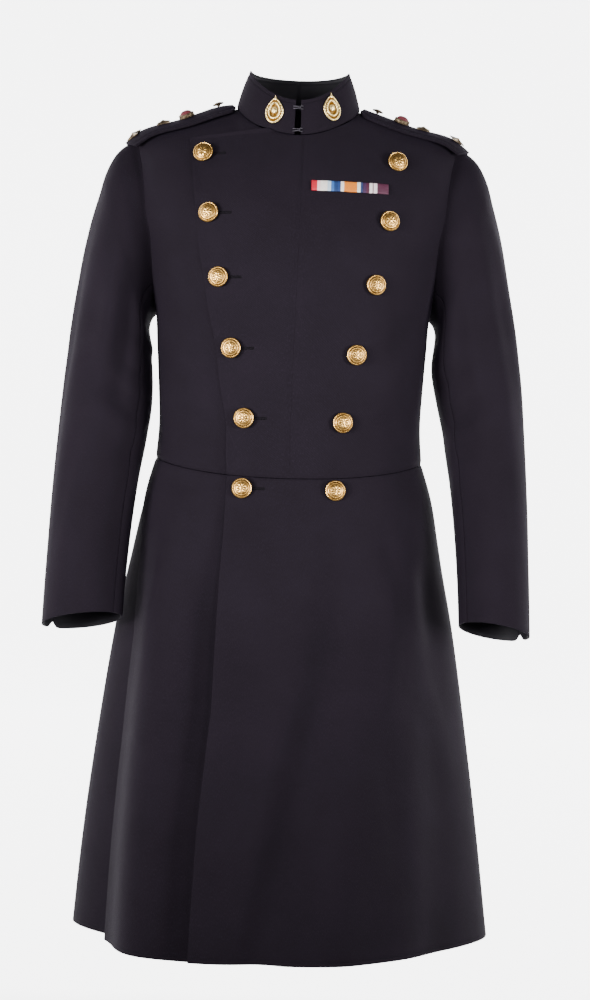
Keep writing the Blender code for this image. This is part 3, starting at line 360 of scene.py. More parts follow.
def sew_piece(name, place, columns, rows, sewn, girth, looks, wall=WALL,
              soft_edge=0.0007):
    """A cut piece: a grid drawn onto its place, given its wall, rounded edges and real-size UVs.

    place(share, row) gives a point and normal; sewn says how deep the seam is at the edges at share 0,
    share 1, first row and last row, from 0 to 1; girth(row) is the piece's width there.
    """
    bm = bmesh.new()
    bmesh.ops.create_grid(bm, x_segments=columns, y_segments=len(rows) - 1, size=0.5)
    spots, down = {}, [0.0]
    for low, high in zip(rows, rows[1:]):
        down.append(down[-1] + (place(0.5, high)[0] - place(0.5, low)[0]).length)
    for vert in bm.verts:
        index = round((vert.co.y + 0.5) * (len(rows) - 1))
        plain = vert.co.x + 0.5
        share = plain - EDGE_CROWDING * math.sin(2.0 * math.pi * plain) / (2.0 * math.pi)
        width = girth(rows[index])
        point, normal = place(share, rows[index])
        reach = (share * width, (1.0 - share) * width, down[index], down[-1] - down[index])
        sink = sum(depth * math.exp(-(away / VALLEY_WIDTH) ** 2) for away, depth in zip(reach, sewn))
        vert.co = point - normal * VALLEY * min(sink, 1.0)
        spots[vert] = ((share - 0.5) * width, down[index])
    uv = bm.loops.layers.uv.new("UVMap")
    for face in bm.faces:
        for loop in face.loops:
            loop[uv].uv = spots[loop.vert]
    bm.normal_update()
    middle = rows[len(rows) // 2]
    facing = min(bm.faces, key=lambda f: (f.calc_center_median() - place(0.5, middle)[0]).length)
    if facing.normal.dot(place(0.5, middle)[1]) < 0.0:
        bmesh.ops.reverse_faces(bm, faces=bm.faces)
    piece = link_mesh(f"sewn_{name}", bm, *looks)
    thick = piece.modifiers.new("wall", "SOLIDIFY")
    thick.thickness, thick.offset, thick.material_offset = wall, -1.0, len(looks) - 1
    rounded = piece.modifiers.new("turned edge", "BEVEL")
    rounded.width, rounded.segments, rounded.limit_method = soft_edge, 2, "ANGLE"
    rounded.angle_limit, rounded.material = math.radians(EDGE_ANGLE), -1
    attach(piece, "root")
    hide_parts(name)
    return piece


def bodice_rows(last_row=NECK_ROW):
    """Rows close together where the armhole turns, so that its line stays round."""
    rows = steps(WAIST_ROW, ARM_FOOT_ROW, ROWS_TO_ARM)
    rows += [armhole_row(180.0 - turn) for turn in steps(0.0, 180.0, ROWS_AT_ARM)]
    rows += steps(ARM_TOP_ROW, last_row, ROWS_TO_NECK) + [last_row]
    return [row for row in rows if row <= last_row]


def body_panel(name, columns, rows, low, high, sewn, lift=None,
               table=BODICE, place_on=bodice):
    """A panel of the body between two edges, given as angles for each row."""
    def place(share, row):
        degrees = low(row) + (high(row) - low(row)) * share
        return place_on(row, degrees, lift(row, degrees) if lift else 0.0)

    def girth(row):
        values = section(table, row)
        return math.radians(abs(high(row) - low(row))) * (values[0] + abs(values[3])) / 2.0

    return sew_piece(name, place, columns, rows, sewn, girth, (broadcloth, sateen))


for side, hand in HAND.items():
    body_panel(f"sidebody_{side}", 26, bodice_rows(BACK_SEAM[-1][0]),
               lambda row: hand * (sidebody_limit(row) - push_degrees(row)),
               lambda row: hand * (back_limit(row) + push_degrees(row)),
               (1.0, 1.0, 1.0, 0.0))
    body_panel(f"back_{side}", 40, bodice_rows(),
               lambda row: hand * (back_limit(row) - push_degrees(row)),
               lambda row: hand * (180.0 + push_degrees(row)),
               (1.0, 1.0, 1.0, 1.0))


# Foreparts and the lapel.
# The left front laps over the right one. Its lapel is a piece of its own, sewn on along a seam near
# the middle, and its free edge is turned in and pressed; between the buttons the edge eases up.
LAP = 0.0031             # how far the lapping front lies above the layer under it
LAP_FADE = (34.0, 62.0)
# the lapel's free edge and its seam, seen from the front.  columns: z x
LAPEL_EDGE = ((-0.469, -0.0745), (-0.410, -0.0765), (-0.357, -0.0845), (-0.290, -0.0958),
              (-0.221, -0.1097), (-0.164, -0.1188), (-0.109, -0.1262), (-0.0689, -0.1345))
# the lapel's top edge, from its corner to the collar.  columns: row x
LAPEL_TOP = ((8.561, -0.1345), (9.0, -0.1001), (9.4, -0.0718), (9.72, -0.0514), (9.98, -0.0358))
LAPEL_SEAM = ((-0.469, 0.0022), (-0.383, 0.0016), (-0.231, 0.0048), (-0.105, 0.0068),
              (-0.040, 0.0085))
UNDERLAP_X = 0.052
# large buttons.  columns: x and z on the wearer's right, x and z on the left
BUTTON_ROWS = ((-0.1156, -0.0672, 0.1242, -0.0730), (-0.1050, -0.1455, 0.1146, -0.1500),
               (-0.0904, -0.2245, 0.0996, -0.2290), (-0.0726, -0.3108, 0.0783, -0.3152),
               (-0.0551, -0.3960, 0.0642, -0.3985), (-0.0551, -0.4830, 0.0576, -0.4830))
DENT, DENT_WIDTH, DENT_END = 0.0010, 0.0150, 0.05    # the shank draws the cloth in under a button
EDGE_EASE, EDGE_EASE_WIDTH = 0.0026, 0.012
EDGE_FREE, TOP_FREE = (0.006, 0.036), 0.8    # distances from a button; share along the top
HALVINGS = 30


def angle_at_x(table, row, x):
    """The angle of the front point of a section that lies at x."""
    values = section(table, row)
    share = min(abs(x) / values[0], 1.0) ** (1.0 / values[7])
    return math.copysign(math.degrees(math.asin(min(share, 1.0))), x)


def row_at_z(table, x, z):
    """The row whose front point at x has height z."""
    low, high = 0.0, float(len(table) - 1)
    for _ in range(HALVINGS):
        middle = (low + high) / 2.0
        height = ring_point(section(table, middle), angle_at_x(table, middle, x)).z
        if (height < z) == (table is BODICE):
            low = middle
        else:
            high = middle
    return (low + high) / 2.0


def lapel_angle(row):
    """Angle of the lapel's free edge, then of its top edge."""
    if row <= LAPEL_TOP[0][0]:
        return angle_at_x(BODICE, row, curve_value(LAPEL_EDGE, section(BODICE, row)[4]))
    return angle_at_x(BODICE, row, curve_value(LAPEL_TOP, row))


def lapel_seam_angle(row):
    """Angle of the seam between the lapel and the forepart."""
    return angle_at_x(BODICE, row, curve_value(LAPEL_SEAM, section(BODICE, row)[4]))


def lap_lift(degrees):
    """The lapping front lies above the other one in front, and comes down to the body beside it."""
    return LAP * (1.0 - blend(*LAP_FADE, degrees))


def button_dent(point):
    """How far the large buttons sink the cloth at a point."""
    height = 0.0
    for right_x, right_z, left_x, left_z in BUTTON_ROWS:
        for x, z in ((right_x, right_z), (left_x, left_z)):
            away = math.hypot(point.x - x, point.z - z)
            if away < DENT_END:
                height -= DENT * math.exp(-(away / DENT_WIDTH) ** 2)
    return height


def edge_waver(row, z, from_edge):
    """Between two buttons, and along the top, the edge stands a little away from the cloth under it."""
    nearest = min(abs(z - button[1]) for button in BUTTON_ROWS)
    free = max(blend(*EDGE_FREE, nearest), TOP_FREE * blend(LAPEL_TOP[0][0], LAPEL_TOP[1][0], row))
    return EDGE_EASE * free * (1.0 - blend(0.0, EDGE_EASE_WIDTH, from_edge))


def lapel_lift(row, degrees):
    """Height of the lapel above the bodice's plain surface."""
    point = bodice_skin(row, degrees)
    from_edge = math.radians(degrees - lapel_angle(row)) * section(BODICE, row)[0]
    return LAP + button_dent(point) + edge_waver(row, point.z, from_edge)


def fore_lift(row, degrees):
    """Height of the left forepart above the bodice's plain surface."""
    return lap_lift(degrees) + button_dent(bodice_skin(row, degrees))


body_panel("forepart_right", 60, bodice_rows(),
           lambda row: -front_limit(row) - push_degrees(row),
           lambda row: angle_at_x(BODICE, row, UNDERLAP_X),
           (0.2, 0.0, 1.0, 1.0))
body_panel("forepart_left", 52, bodice_rows(),
           lambda row: lapel_seam_angle(row) - push_degrees(row),
           lambda row: front_limit(row) + push_degrees(row),
           (0.8, 0.2, 1.0, 1.0), fore_lift)
body_panel("lapel_left", 44, bodice_rows(), lapel_angle,
           lambda row: lapel_seam_angle(row) + push_degrees(row),
           (0.0, 1.0, 1.0, 1.0), lapel_lift)


# Skirts.
# Four flared panels hang from the waist seam: the fronts lap as the bodice does, and at each side a
# pleat runs from the waist to the hem with the back skirt tucked in behind it. Gravity gives long
# soft folds that open towards the hem.
SKIRT_SWING, SWING_POWER = 0.0060, 4.0   # the skirt's swing to the wearer's left at the hem
# sections from the waist down.  columns: side_x side_y side_z front_y front_z back_y back_z square
SKIRT = (
    (0.1690, 0.000, -0.4455, -0.1130, -0.4690, 0.0780, -0.4450, 0.88),   # waist seam
    (0.1850, 0.004, -0.5000, -0.1240, -0.5120, 0.1040, -0.5000, 0.90),
    (0.1985, 0.009, -0.5800, -0.1390, -0.5850, 0.1310, -0.5800, 0.94),
    (0.2140, 0.016, -0.6650, -0.1540, -0.6680, 0.1520, -0.6650, 0.98),
    (0.2315, 0.024, -0.7850, -0.1740, -0.7870, 0.1790, -0.7850, 1.04),
    (0.2485, 0.032, -0.9150, -0.1930, -0.9180, 0.2050, -0.9150, 1.10),
    (0.2625, 0.040, -1.0440, -0.2110, -1.0490, 0.2290, -1.0450, 1.15),   # hem
)
HEM_ROW, SKIRT_ROWS = len(SKIRT) - 1.0, 104
# free edge of the lapping front.  columns: z x
SKIRT_EDGE = ((-0.469, -0.0745), (-0.583, -0.0773), (-0.750, -0.0799), (-0.891, -0.0906),
              (-1.048, -0.0965))
# the pleat.  columns: row, its angle on the wearer's right, and on the left
PLEAT = ((0.0, 88.0, 98.0), (1.0, 78.0, 97.0), (2.0, 67.0, 96.0), (3.0, 59.5, 95.0),
         (4.0, 57.5, 94.0), (6.0, 57.0, 94.0))
PLEAT_COLUMN = {"right": 1, "left": 2}
PLEAT_UNDER = 7.0             # degrees by which the back skirt reaches in under the pleat
PLEAT_STEP = 0.0031           # how deep it lies there at the waist, and how much more at the hem
PLEAT_DEPTH = {"right": 0.0230, "left": 0.0080}
PLEAT_FADE = (-2.0, 24.0)
PLEAT_CLOSING = (-0.3, 1.0)   # towards the waist the pleat's hollow closes, up to the seam
LAP_GROWTH = 0.4              # the lap stands this share higher at the hem
EDGE_FLARE, EDGE_FLARE_WIDTH = 0.0022, 9.0
UNDER_SINK, UNDER_SINK_WIDTH, UNDER_SINK_FADE = 0.0150, 8.0, (0.10, 0.60)
FOLD_POWER = 0.8
# columns: angle at the waist, angle at the hem, first row, height at the hem, half-width in degrees
SKIRT_FOLDS = (
    (36.0, -8.0, 1.0, -0.0080, 9.0),       # the long slanting trough on the lapping front
    (66.0, 18.0, 1.5, 0.0050, 10.0),
    (70.0, 50.0, 1.0, -0.0060, 9.0),
    (88.0, 76.0, 1.5, 0.0060, 10.0),
    (-20.0, -22.0, 1.5, 0.0130, 9.0),      # the lapping front's free edge stands forward
    (-44.0, -38.0, 0.5, 0.0380, 12.5),     # full round ridge in front of the right pleat
    (-84.0, -88.0, 0.8, 0.0060, 8.0),
    (112.0, 112.0, 1.0, -0.0080, 9.0),
    (130.0, 132.0, 0.6, 0.0100, 9.0),
    (150.0, 154.0, 1.0, -0.0090, 9.0),
    (170.0, 172.0, 0.8, 0.0050, 8.0),
    (-112.0, -108.0, 1.0, -0.0090, 9.0),
    (-130.0, -130.0, 0.6, 0.0090, 9.0),
    (-150.0, -152.0, 1.0, -0.0090, 9.0),
    (-170.0, -172.0, 0.8, 0.0050, 8.0),
)
# smaller creases.  columns: start x z, end x z, half-width, height, face
SKIRT_CREASES = (
    (-0.066, -0.573, -0.022, -0.576, 0.0040, -0.0009, -1),
    (-0.181, -0.786, -0.162, -0.790, 0.0045, 0.0018, -1),    # a tuck caught by the pressing
    (0.070, -0.520, 0.034, -0.640, 0.0140, -0.0022, -1),
    (0.112, -0.520, 0.150, -0.640, 0.0130, -0.0020, -1),
    (0.085, -0.575, -0.010, -1.120, 0.0290, -0.0095, -1),    # the slanting trough and its two banks
    (0.041, -0.594, -0.067, -1.120, 0.0200, 0.0055, -1),
    (0.092, -0.700, 0.072, -1.120, 0.0220, 0.0050, -1),
    (0.133, -0.566, 0.120, -0.800, 0.0160, 0.0048, -1),
    (0.173, -0.565, 0.194, -0.690, 0.0150, -0.0050, -1),
    (0.172, -0.690, 0.212, -0.850, 0.0140, 0.0026, -1),
    (-0.012, -0.700, -0.030, -0.930, 0.0150, 0.0016, -1),
    (-0.130, -0.500, -0.160, -0.640, 0.0120, 0.0020, -1),
    (-0.104, -0.520, -0.112, -0.700, 0.0130, -0.0018, -1),
    (0.120, -0.760, 0.150, -0.980, 0.0160, -0.0024, -1),
    (0.052, -0.800, 0.070, -1.010, 0.0150, 0.0020, -1),
    (-0.060, -0.560, -0.080, -0.800, 0.0140, -0.0020, 1),
    (0.062, -0.540, 0.076, -0.780, 0.0140, -0.0020, 1),
    (-0.140, -0.600, -0.175, -0.860, 0.0150, 0.0022, 1),
    (0.142, -0.620, 0.172, -0.880, 0.0150, 0.0022, 1),
)


def skirt_fold(row, degrees):
    """Height of the skirt's large folds above its plain surface."""
    height = 0.0
    for at_waist, at_hem, first, crest, width in SKIRT_FOLDS:
        if row > first:
            centre = at_waist + (at_hem - at_waist) * row / HEM_ROW
            away = (degrees - centre + 180.0) % 360.0 - 180.0
            grown = ((row - first) / (HEM_ROW - first)) ** FOLD_POWER
            height += crest * grown * math.exp(-(away / width) ** 2)
    return height


def skirt_skin(row, degrees):
    """A point of the skirt with its large folds and its swing."""
    point = ring_point(section(SKIRT, row), degrees)
    outward = Vector((point.x, point.y, 0.0)).normalized()
    point.x += SKIRT_SWING * (row / HEM_ROW) ** SWING_POWER
    return point + outward * skirt_fold(row, degrees)


def skirt(row, degrees, lift=0.0):
    """A point of the skirt's cloth and its normal."""
    return surface(skirt_skin, SKIRT, SKIRT_CREASES, row, degrees, lift)


def skirt_edge_angle(row):
    """Angle of the lapping skirt's free edge."""
    return angle_at_x(SKIRT, row, curve_value(SKIRT_EDGE, section(SKIRT, row)[4]))


def front_skirt_lift(row, degrees):
    """The lapping skirt stands higher towards the hem, and its free edge a little more."""
    down = row / HEM_ROW
    from_edge = degrees - skirt_edge_angle(row)
    flare = EDGE_FLARE * down * (1.0 - blend(0.0, EDGE_FLARE_WIDTH, from_edge))
    return lap_lift(degrees) * (1.0 + LAP_GROWTH * down) + flare + button_dent(skirt_skin(row, degrees))


def under_skirt_lift(row, degrees):
    """The right skirt sinks away under the lapping edge, so that the edge stands clear."""
    from_edge = degrees - skirt_edge_angle(row)
    return -UNDER_SINK * blend(*UNDER_SINK_FADE, row / HEM_ROW) \
        * math.exp(-(from_edge / UNDER_SINK_WIDTH) ** 2)


def back_skirt_lift(side):
    """The back skirt lies deep in the pleat, and comes out to the body's form behind it."""
    def lift(row, degrees):
        beyond = abs((degrees + 180.0) % 360.0 - 180.0) - curve_value(PLEAT, row, PLEAT_COLUMN[side])
        depth = PLEAT_STEP + PLEAT_DEPTH[side] * row / HEM_ROW
        reach = (PLEAT_FADE[1] - PLEAT_FADE[0]) * blend(*PLEAT_CLOSING, row)
        return -depth * (1.0 - blend(PLEAT_FADE[0], PLEAT_FADE[0] + reach, beyond))
    return lift


def skirt_panel(name, columns, low, high, sewn, flat, area, lift=None, rests_on=()):
    """A panel of the skirt between two edges, from the waist seam to the hem."""
    rows = steps(WAIST_ROW, HEM_ROW, SKIRT_ROWS) + [HEM_ROW]
    return body_panel(name, columns, rows, low, high, sewn, lift, SKIRT, skirt)


skirt_panel("skirt_front_right", 84, lambda row: -curve_value(PLEAT, row, PLEAT_COLUMN["right"]),
            lambda row: angle_at_x(SKIRT, row, UNDERLAP_X), (0.0, 0.0, 1.0, 0.0),
            (0.338, 0.613), 0.1768, under_skirt_lift, ["forepart_right"])
skirt_panel("skirt_front_left", 104, skirt_edge_angle,
            lambda row: curve_value(PLEAT, row, PLEAT_COLUMN["left"]), (0.0, 0.0, 1.0, 0.0),
            (0.521, 0.609), 0.2561, front_skirt_lift, ["forepart_left"])
# each back skirt's cut as (width, length) and area
BACK_SKIRT_CUT = {"left": ((0.357, 0.622), 0.1824), "right": ((0.534, 0.622), 0.2537)}
for side, hand in HAND.items():
    skirt_panel(f"skirt_back_{side}", 84,
                lambda row: hand * (curve_value(PLEAT, row, PLEAT_COLUMN[side]) - PLEAT_UNDER),
                lambda row: hand * (180.0 + push_degrees(row, SKIRT)),
                (0.0, 1.0, 1.0, 0.0), *BACK_SKIRT_CUT[side], back_skirt_lift(side), [f"back_{side}"])


# Sleeves.
# Each has a top and an under piece, cut curved for the bent arm, and set into the armhole with a
# little fullness over the head. The elbow creases, and the cuff has a short vent with two buttons.
TUCK_IN = 0.0006         # the sleeve's turning goes under the armhole's edge
# sections from the armhole down.  columns: outer_x outer_z inner_x inner_z middle_y half_depth tilt
SLEEVE = (
    (0.2020, -0.0410, 0.1760, -0.2590, 0.003, 0.0620, 0.0),
    (0.2150, -0.0460, 0.1785, -0.2645, 0.003, 0.0655, 0.0),
    (0.2305, -0.0605, 0.1815, -0.2700, 0.003, 0.0695, 0.0),
    (0.2425, -0.0850, 0.1825, -0.2780, 0.003, 0.0715, 0.0),
    (0.2505, -0.1150, 0.1820, -0.2880, 0.002, 0.0725, 0.0),
    (0.2595, -0.1480, 0.1805, -0.3000, 0.001, 0.0725, 0.0),
    (0.2675, -0.1850, 0.1787, -0.3150, 0.000, 0.0720, 1.0),
    (0.2740, -0.2250, 0.1775, -0.3330, -0.002, 0.0705, 2.0),
    (0.2805, -0.2700, 0.1775, -0.3560, -0.005, 0.0685, 4.0),
    (0.2850, -0.3150, 0.1795, -0.3830, -0.009, 0.0665, 6.0),
    (0.2885, -0.3560, 0.1835, -0.4110, -0.015, 0.0645, 8.0),
    (0.2915, -0.4000, 0.1880, -0.4410, -0.022, 0.0620, 9.5),
    (0.2945, -0.4500, 0.1930, -0.4740, -0.031, 0.0590, 11.0),
    (0.2970, -0.5050, 0.1975, -0.5160, -0.043, 0.0560, 12.0),
    (0.2985, -0.5600, 0.2010, -0.5600, -0.056, 0.0530, 13.0),
    (0.2998, -0.6120, 0.2035, -0.6040, -0.069, 0.0505, 14.0),
    (0.3005, -0.6580, 0.2050, -0.6450, -0.081, 0.0485, 14.0),
)
CUFF_SECTION, HEAD_SECTION = len(SLEEVE) - 1.0, 2.0
HEAD_ROWS, ARM_ROWS = 16, 88
# each forearm swings out from the body: its outer and inner line, between two sections
SLEEVE_SPREAD = {"left": (0.0048, 0.0115), "right": (0.0, -0.0045)}
SPREAD_SECTIONS = (6.0, 10.0)
SLEEVE_FADE = 4.0        # the armhole's own line fades out down to this section
SLEEVE_RADIUS, RADIUS_SHARE = 0.055, 0.95    # mean radius, and its share of the half depth
# degrees of each seam at the armhole and at the cuff
FOREARM_SEAM, HINDARM_SEAM = (-135.0, -145.0), (105.0, 36.0)
FOLD_SECTIONS = (0.5, 2.0)
# columns: side (0 both), section, degrees, half-width in sections, in degrees, height, slant
SLEEVE_FOLDS = (
    (0, 9.2, -95.0, 0.75, 46.0, -0.0040, 9.0),
    (0, 10.6, -110.0, 0.70, 42.0, 0.0032, 8.0),
    (0, 7.4, -60.0, 1.20, 24.0, -0.0034, 14.0),
    (0, 4.4, -88.0, 1.80, 15.0, -0.0042, 4.0),
    (0, 4.8, 96.0, 2.00, 18.0, -0.0042, -4.0),
    (1, 6.4, -34.0, 3.20, 13.0, 0.0042, 3.0),
    (-1, 7.6, -24.0, 4.20, 13.0, -0.0040, 1.0),
    (0, 10.2, 110.0, 1.10, 34.0, 0.0030, 5.0),
)
SLEEVE_CREASES = (
    (0, 8.1, -128.0, 0.34, 30.0, -0.0022, 10.0),
    (0, 8.9, -120.0, 0.30, 30.0, 0.0020, 12.0),
    (0, 9.9, -132.0, 0.30, 34.0, -0.0024, -8.0),
    (0, 11.3, -128.0, 0.34, 32.0, -0.0020, -12.0),
    (0, 12.2, -140.0, 0.40, 26.0, 0.0014, -8.0),
    (0, 7.0, -150.0, 0.40, 26.0, 0.0016, 8.0),
    (1, 8.6, -70.0, 0.50, 22.0, -0.0018, 26.0),
    (-1, 8.9, -74.0, 0.50, 22.0, -0.0018, 24.0),
    (1, 12.6, -64.0, 1.30, 11.0, -0.0014, 6.0),
    (-1, 12.2, -58.0, 1.50, 11.0, -0.0016, 8.0),
    (0, 9.4, 86.0, 0.60, 24.0, -0.0018, -14.0),
    (0, 10.9, 78.0, 0.55, 24.0, -0.0016, -12.0),
    (0, 2.6, -52.0, 1.10, 9.0, -0.0014, 3.0),
    (0, 2.4, 46.0, 1.10, 9.0, -0.0014, -3.0),
    (1, 4.2, -8.0, 2.40, 12.0, 0.0014, 2.0),
    (-1, 4.0, 4.0, 2.40, 12.0, 0.0014, -2.0),
    (-1, 6.6, -86.0, 4.00, 13.0, 0.0060, 1.0),
    (-1, 6.4, -114.0, 3.20, 12.0, -0.0070, 1.0),
    (-1, 3.0, -146.0, 2.60, 12.0, 0.0070, 2.0),
    (-1, 5.0, -176.0, 0.90, 30.0, 0.0065, 0.0),
    (1, 6.8, -64.0, 4.00, 14.0, 0.0050, 1.0),
    (1, 6.8, -112.0, 3.00, 14.0, -0.0040, -1.0),
)
# the vent's corners: sections high, degrees wide, and the sections where they begin and are whole
CUFF_NOTCH, CUFF_NOTCH_WIDTH, CUFF_NOTCH_FADE = 0.16, 7.0, (15.0, 16.0)


def fold_swell(folds, hand, part, turn):
    """How far a table of folds raises the sleeve at a section and a turn."""
    swell = 0.0
    for owner, at, degrees, length, width, height, slant in folds:
        if owner in (0, hand):
            away = (turn - degrees - slant * (part - at) + 180.0) % 360.0 - 180.0
            swell += height * math.exp(-((part - at) / length) ** 2 - (away / width) ** 2)
    return swell


def sleeve_oval(values, turn):
    """The middle of a section and its plain point at a turn."""
    outer_x, outer_z, inner_x, inner_z, middle_y, half_depth, tilt = values
    around, lean = math.radians(turn), math.radians(tilt)
    centre = Vector(((outer_x + inner_x) / 2.0, middle_y, (outer_z + inner_z) / 2.0))
    across = Vector(((outer_x - inner_x) / 2.0, 0.0, (outer_z - inner_z) / 2.0))
    back = Vector((0.0, math.cos(lean), -math.sin(lean))) * half_depth
    return centre, centre + across * math.cos(around) + back * math.sin(around)


def sleeve_skin(side, part, turn):
    """A point of the sleeve. Turn: 0 outer side, -90 front, 90 back, 180 against the body."""
    values = section(SLEEVE, part)
    spread = blend(*SPREAD_SECTIONS, part)
    values[0] += SLEEVE_SPREAD[side][0] * spread
    values[2] += SLEEVE_SPREAD[side][1] * spread
    centre, point = sleeve_oval(values, turn)
    fade = 1.0 - blend(0.0, SLEEVE_FADE, part)
    if fade > 0.0:
        # the first line is the armhole's own
        plain = sleeve_oval(SLEEVE[0], turn)[1]
        point += (bodice(armhole_row(turn), armhole_angle(turn))[0] - plain) * fade
    hand = HAND[side]
    swell = fold_swell(SLEEVE_FOLDS, hand, part, turn) + fold_swell(SLEEVE_CREASES, hand, part, turn)
    point += (point - centre).normalized() * swell * blend(*FOLD_SECTIONS, part)
    return Vector((hand * point.x, point.y, point.z))


def sleeve_normal(side, part, turn):
    """Outward normal; at the armhole it is the body's own, so that the seam's edges meet."""
    hand = HAND[side]
    low, high = max(part - 0.05, 0.0), min(part + 0.05, CUFF_SECTION)
    along = sleeve_skin(side, high, turn) - sleeve_skin(side, low, turn)
    across = sleeve_skin(side, part, turn + 1.0) - sleeve_skin(side, part, turn - 1.0)
    normal = along.cross(across).normalized() * hand
    share = 1.0 - blend(0.0, 1.0, part)
    if share > 0.0:
        body_normal = bodice(armhole_row(turn), armhole_angle(turn))[1]
        body_normal.x *= hand
        normal = (normal * (1.0 - share) + body_normal * share).normalized()
    return normal


def sleeve_piece(name, side, columns, edges):
    """A piece of a sleeve between two of its seams."""
    egg = bodice_skin((ARM_TOP_ROW + ARM_FOOT_ROW) / 2.0, (ARM_TOP_ANGLE + ARM_FOOT_ANGLE) / 2.0)
    egg.x *= HAND[side]
    trim = math.degrees(SEAM / 2.0 / SLEEVE_RADIUS)
    vent_edge = 1 if edges[0] is FOREARM_SEAM else 0

    def limits(part):
        down = blend(0.0, CUFF_SECTION, part)
        start, end = (seam_line[0] + (seam_line[1] - seam_line[0]) * down for seam_line in edges)
        return start + trim, (end if end > start else end + 360.0) - trim

    def place(share, part):
        start, end = limits(part)
        turn = start + (end - start) * share
        from_vent = (end - turn) if vent_edge else (turn - start)
        part -= CUFF_NOTCH * math.exp(-(from_vent / CUFF_NOTCH_WIDTH) ** 2) \
            * blend(*CUFF_NOTCH_FADE, part)
        point, normal = sleeve_skin(side, part, turn), sleeve_normal(side, part, turn)
        if part == 0.0:
            inward = egg - point
            inward -= inward.dot(normal) * normal
            point -= inward.normalized() * TUCK_IN
        return point, normal

    def girth(part):
        start, end = limits(part)
        return math.radians(end - start) * section(SLEEVE, part)[5] * RADIUS_SHARE

    rows = steps(0.0, HEAD_SECTION, HEAD_ROWS) + steps(HEAD_SECTION, CUFF_SECTION, ARM_ROWS) \
        + [CUFF_SECTION]
    return sew_piece(name, place, columns, rows, (0.7, 0.7, 0.15, 0.0), girth,
                     (broadcloth, sateen))


for side in HAND:
    sleeve_piece(f"sleeve_top_{side}", side, 64, (FOREARM_SEAM, HINDARM_SEAM))
    sleeve_piece(f"sleeve_under_{side}", side, 34, (HINDARM_SEAM, FOREARM_SEAM))


# Stand collar.
# Two halves of stiffened broadcloth joined at the centre back, standing on the neck seam. A line of
# machine stitching runs 5 mm below the upper edge. The front ends meet at hooks and eyes.
COLLAR_HEIGHT, COLLAR_GIRTH = 0.048, 0.215
# the upper edge.  columns: side_x side_y side_z front_y front_z back_y back_z square
COLLAR_TOP = (0.0630, 0.0020, 0.0510, -0.0550, 0.0060, 0.0540, 0.0490, 1.00)
COLLAR_LEAN, COLLAR_BELLY = 0.0020, 0.0012
# in front the foot stands higher, on the folded fronts, and fades down between these degrees
COLLAR_RISE, RISE_FADE = 0.0018, {"left": (46.0, 64.0), "right": (31.0, 44.0)}
COLLAR_EASE, EASE_WAVES, EASE_START, EASE_FADE = 0.0007, 5.0, 0.6, 30.0  # unevenness of the edge
COLLAR_GAP = 0.0040      # half the opening between the front ends
COLLAR_BACK = 180.7      # degrees to which a half reaches, a little over the middle
# behind, the foot reaches this much further down over the neck seam, from these degrees on
FOOT_LEVEL, FOOT_TUCK, FOOT_TUCK_FADE = -0.02, 2.6, (80.0, 120.0)
STITCH_INSET = 0.0050
STITCH_GROOVE, GROOVE_WIDTH = 0.0006, 0.0011
SEAT = 0.0003            # air between a piece of trim and its cloth


def collar_point(height, degrees):
    """A point of the collar's outside; height 0 is its foot and 1 its upper edge."""
    fade = RISE_FADE["left" if degrees > 0 else "right"]
    rise = SEAM + SEAT + COLLAR_RISE * (1.0 - blend(*fade, abs(degrees)))
    foot = ring_point(BODICE[-1], degrees) + Vector((0.0, 0.0, rise))
    outward = Vector((foot.x, foot.y, 0.0)).normalized()
    point = (foot + outward * COLLAR_LEAN).lerp(ring_point(COLLAR_TOP, degrees), height)
    ease = COLLAR_EASE * math.sin(math.radians(degrees) * EASE_WAVES + EASE_START) * height \
        * (1.0 - blend(0.0, EASE_FADE, EASE_FADE - abs(degrees)))
    return point + outward * (COLLAR_BELLY * math.sin(math.pi * height) + ease)


def collar_place(height, degrees):
    """A point of the collar with the groove of its stitching, and its normal."""
    across = collar_point(height, degrees + 1.0) - collar_point(height, degrees - 1.0)
    along = collar_point(min(height + ROW_STEP, 1.0), degrees) \
        - collar_point(height - ROW_STEP, degrees)
    normal = across.cross(along).normalized()
    inset = (1.0 - height) * COLLAR_HEIGHT - STITCH_INSET
    groove = STITCH_GROOVE * math.exp(-(inset / GROOVE_WIDTH) ** 2)
    return collar_point(height, degrees) - normal * groove, normal


def collar_half(side, turn):
    """One half of the collar, from the front opening to the centre back."""
    opening = math.degrees(COLLAR_GAP / BODICE[-1][0])

    def place(share, height):
        degrees = turn * (opening + (COLLAR_BACK - opening) * share)
        if height < 0.0:
            height *= 1.0 + FOOT_TUCK * blend(*FOOT_TUCK_FADE, abs(degrees))
        return collar_place(height, degrees)

    heights = steps(FOOT_LEVEL, 0.80, 14) + steps(0.80, 1.0, 14) + [1.0]
    return sew_piece(f"collar_{side}", place, 72, heights, (0.0, 1.0, 1.0, 0.0),
                     lambda height: COLLAR_GIRTH, (broadcloth, sateen))


for side, hand in HAND.items():
    collar_half(side, hand)


# Shoulder straps.
# Two thicknesses of broadcloth over a stiffener, stitched round 4 mm from the edge. The outer end
# is sewn down over the sleeve's head, and the neck end is held by a small button.
STRAP_WALL = 0.0034
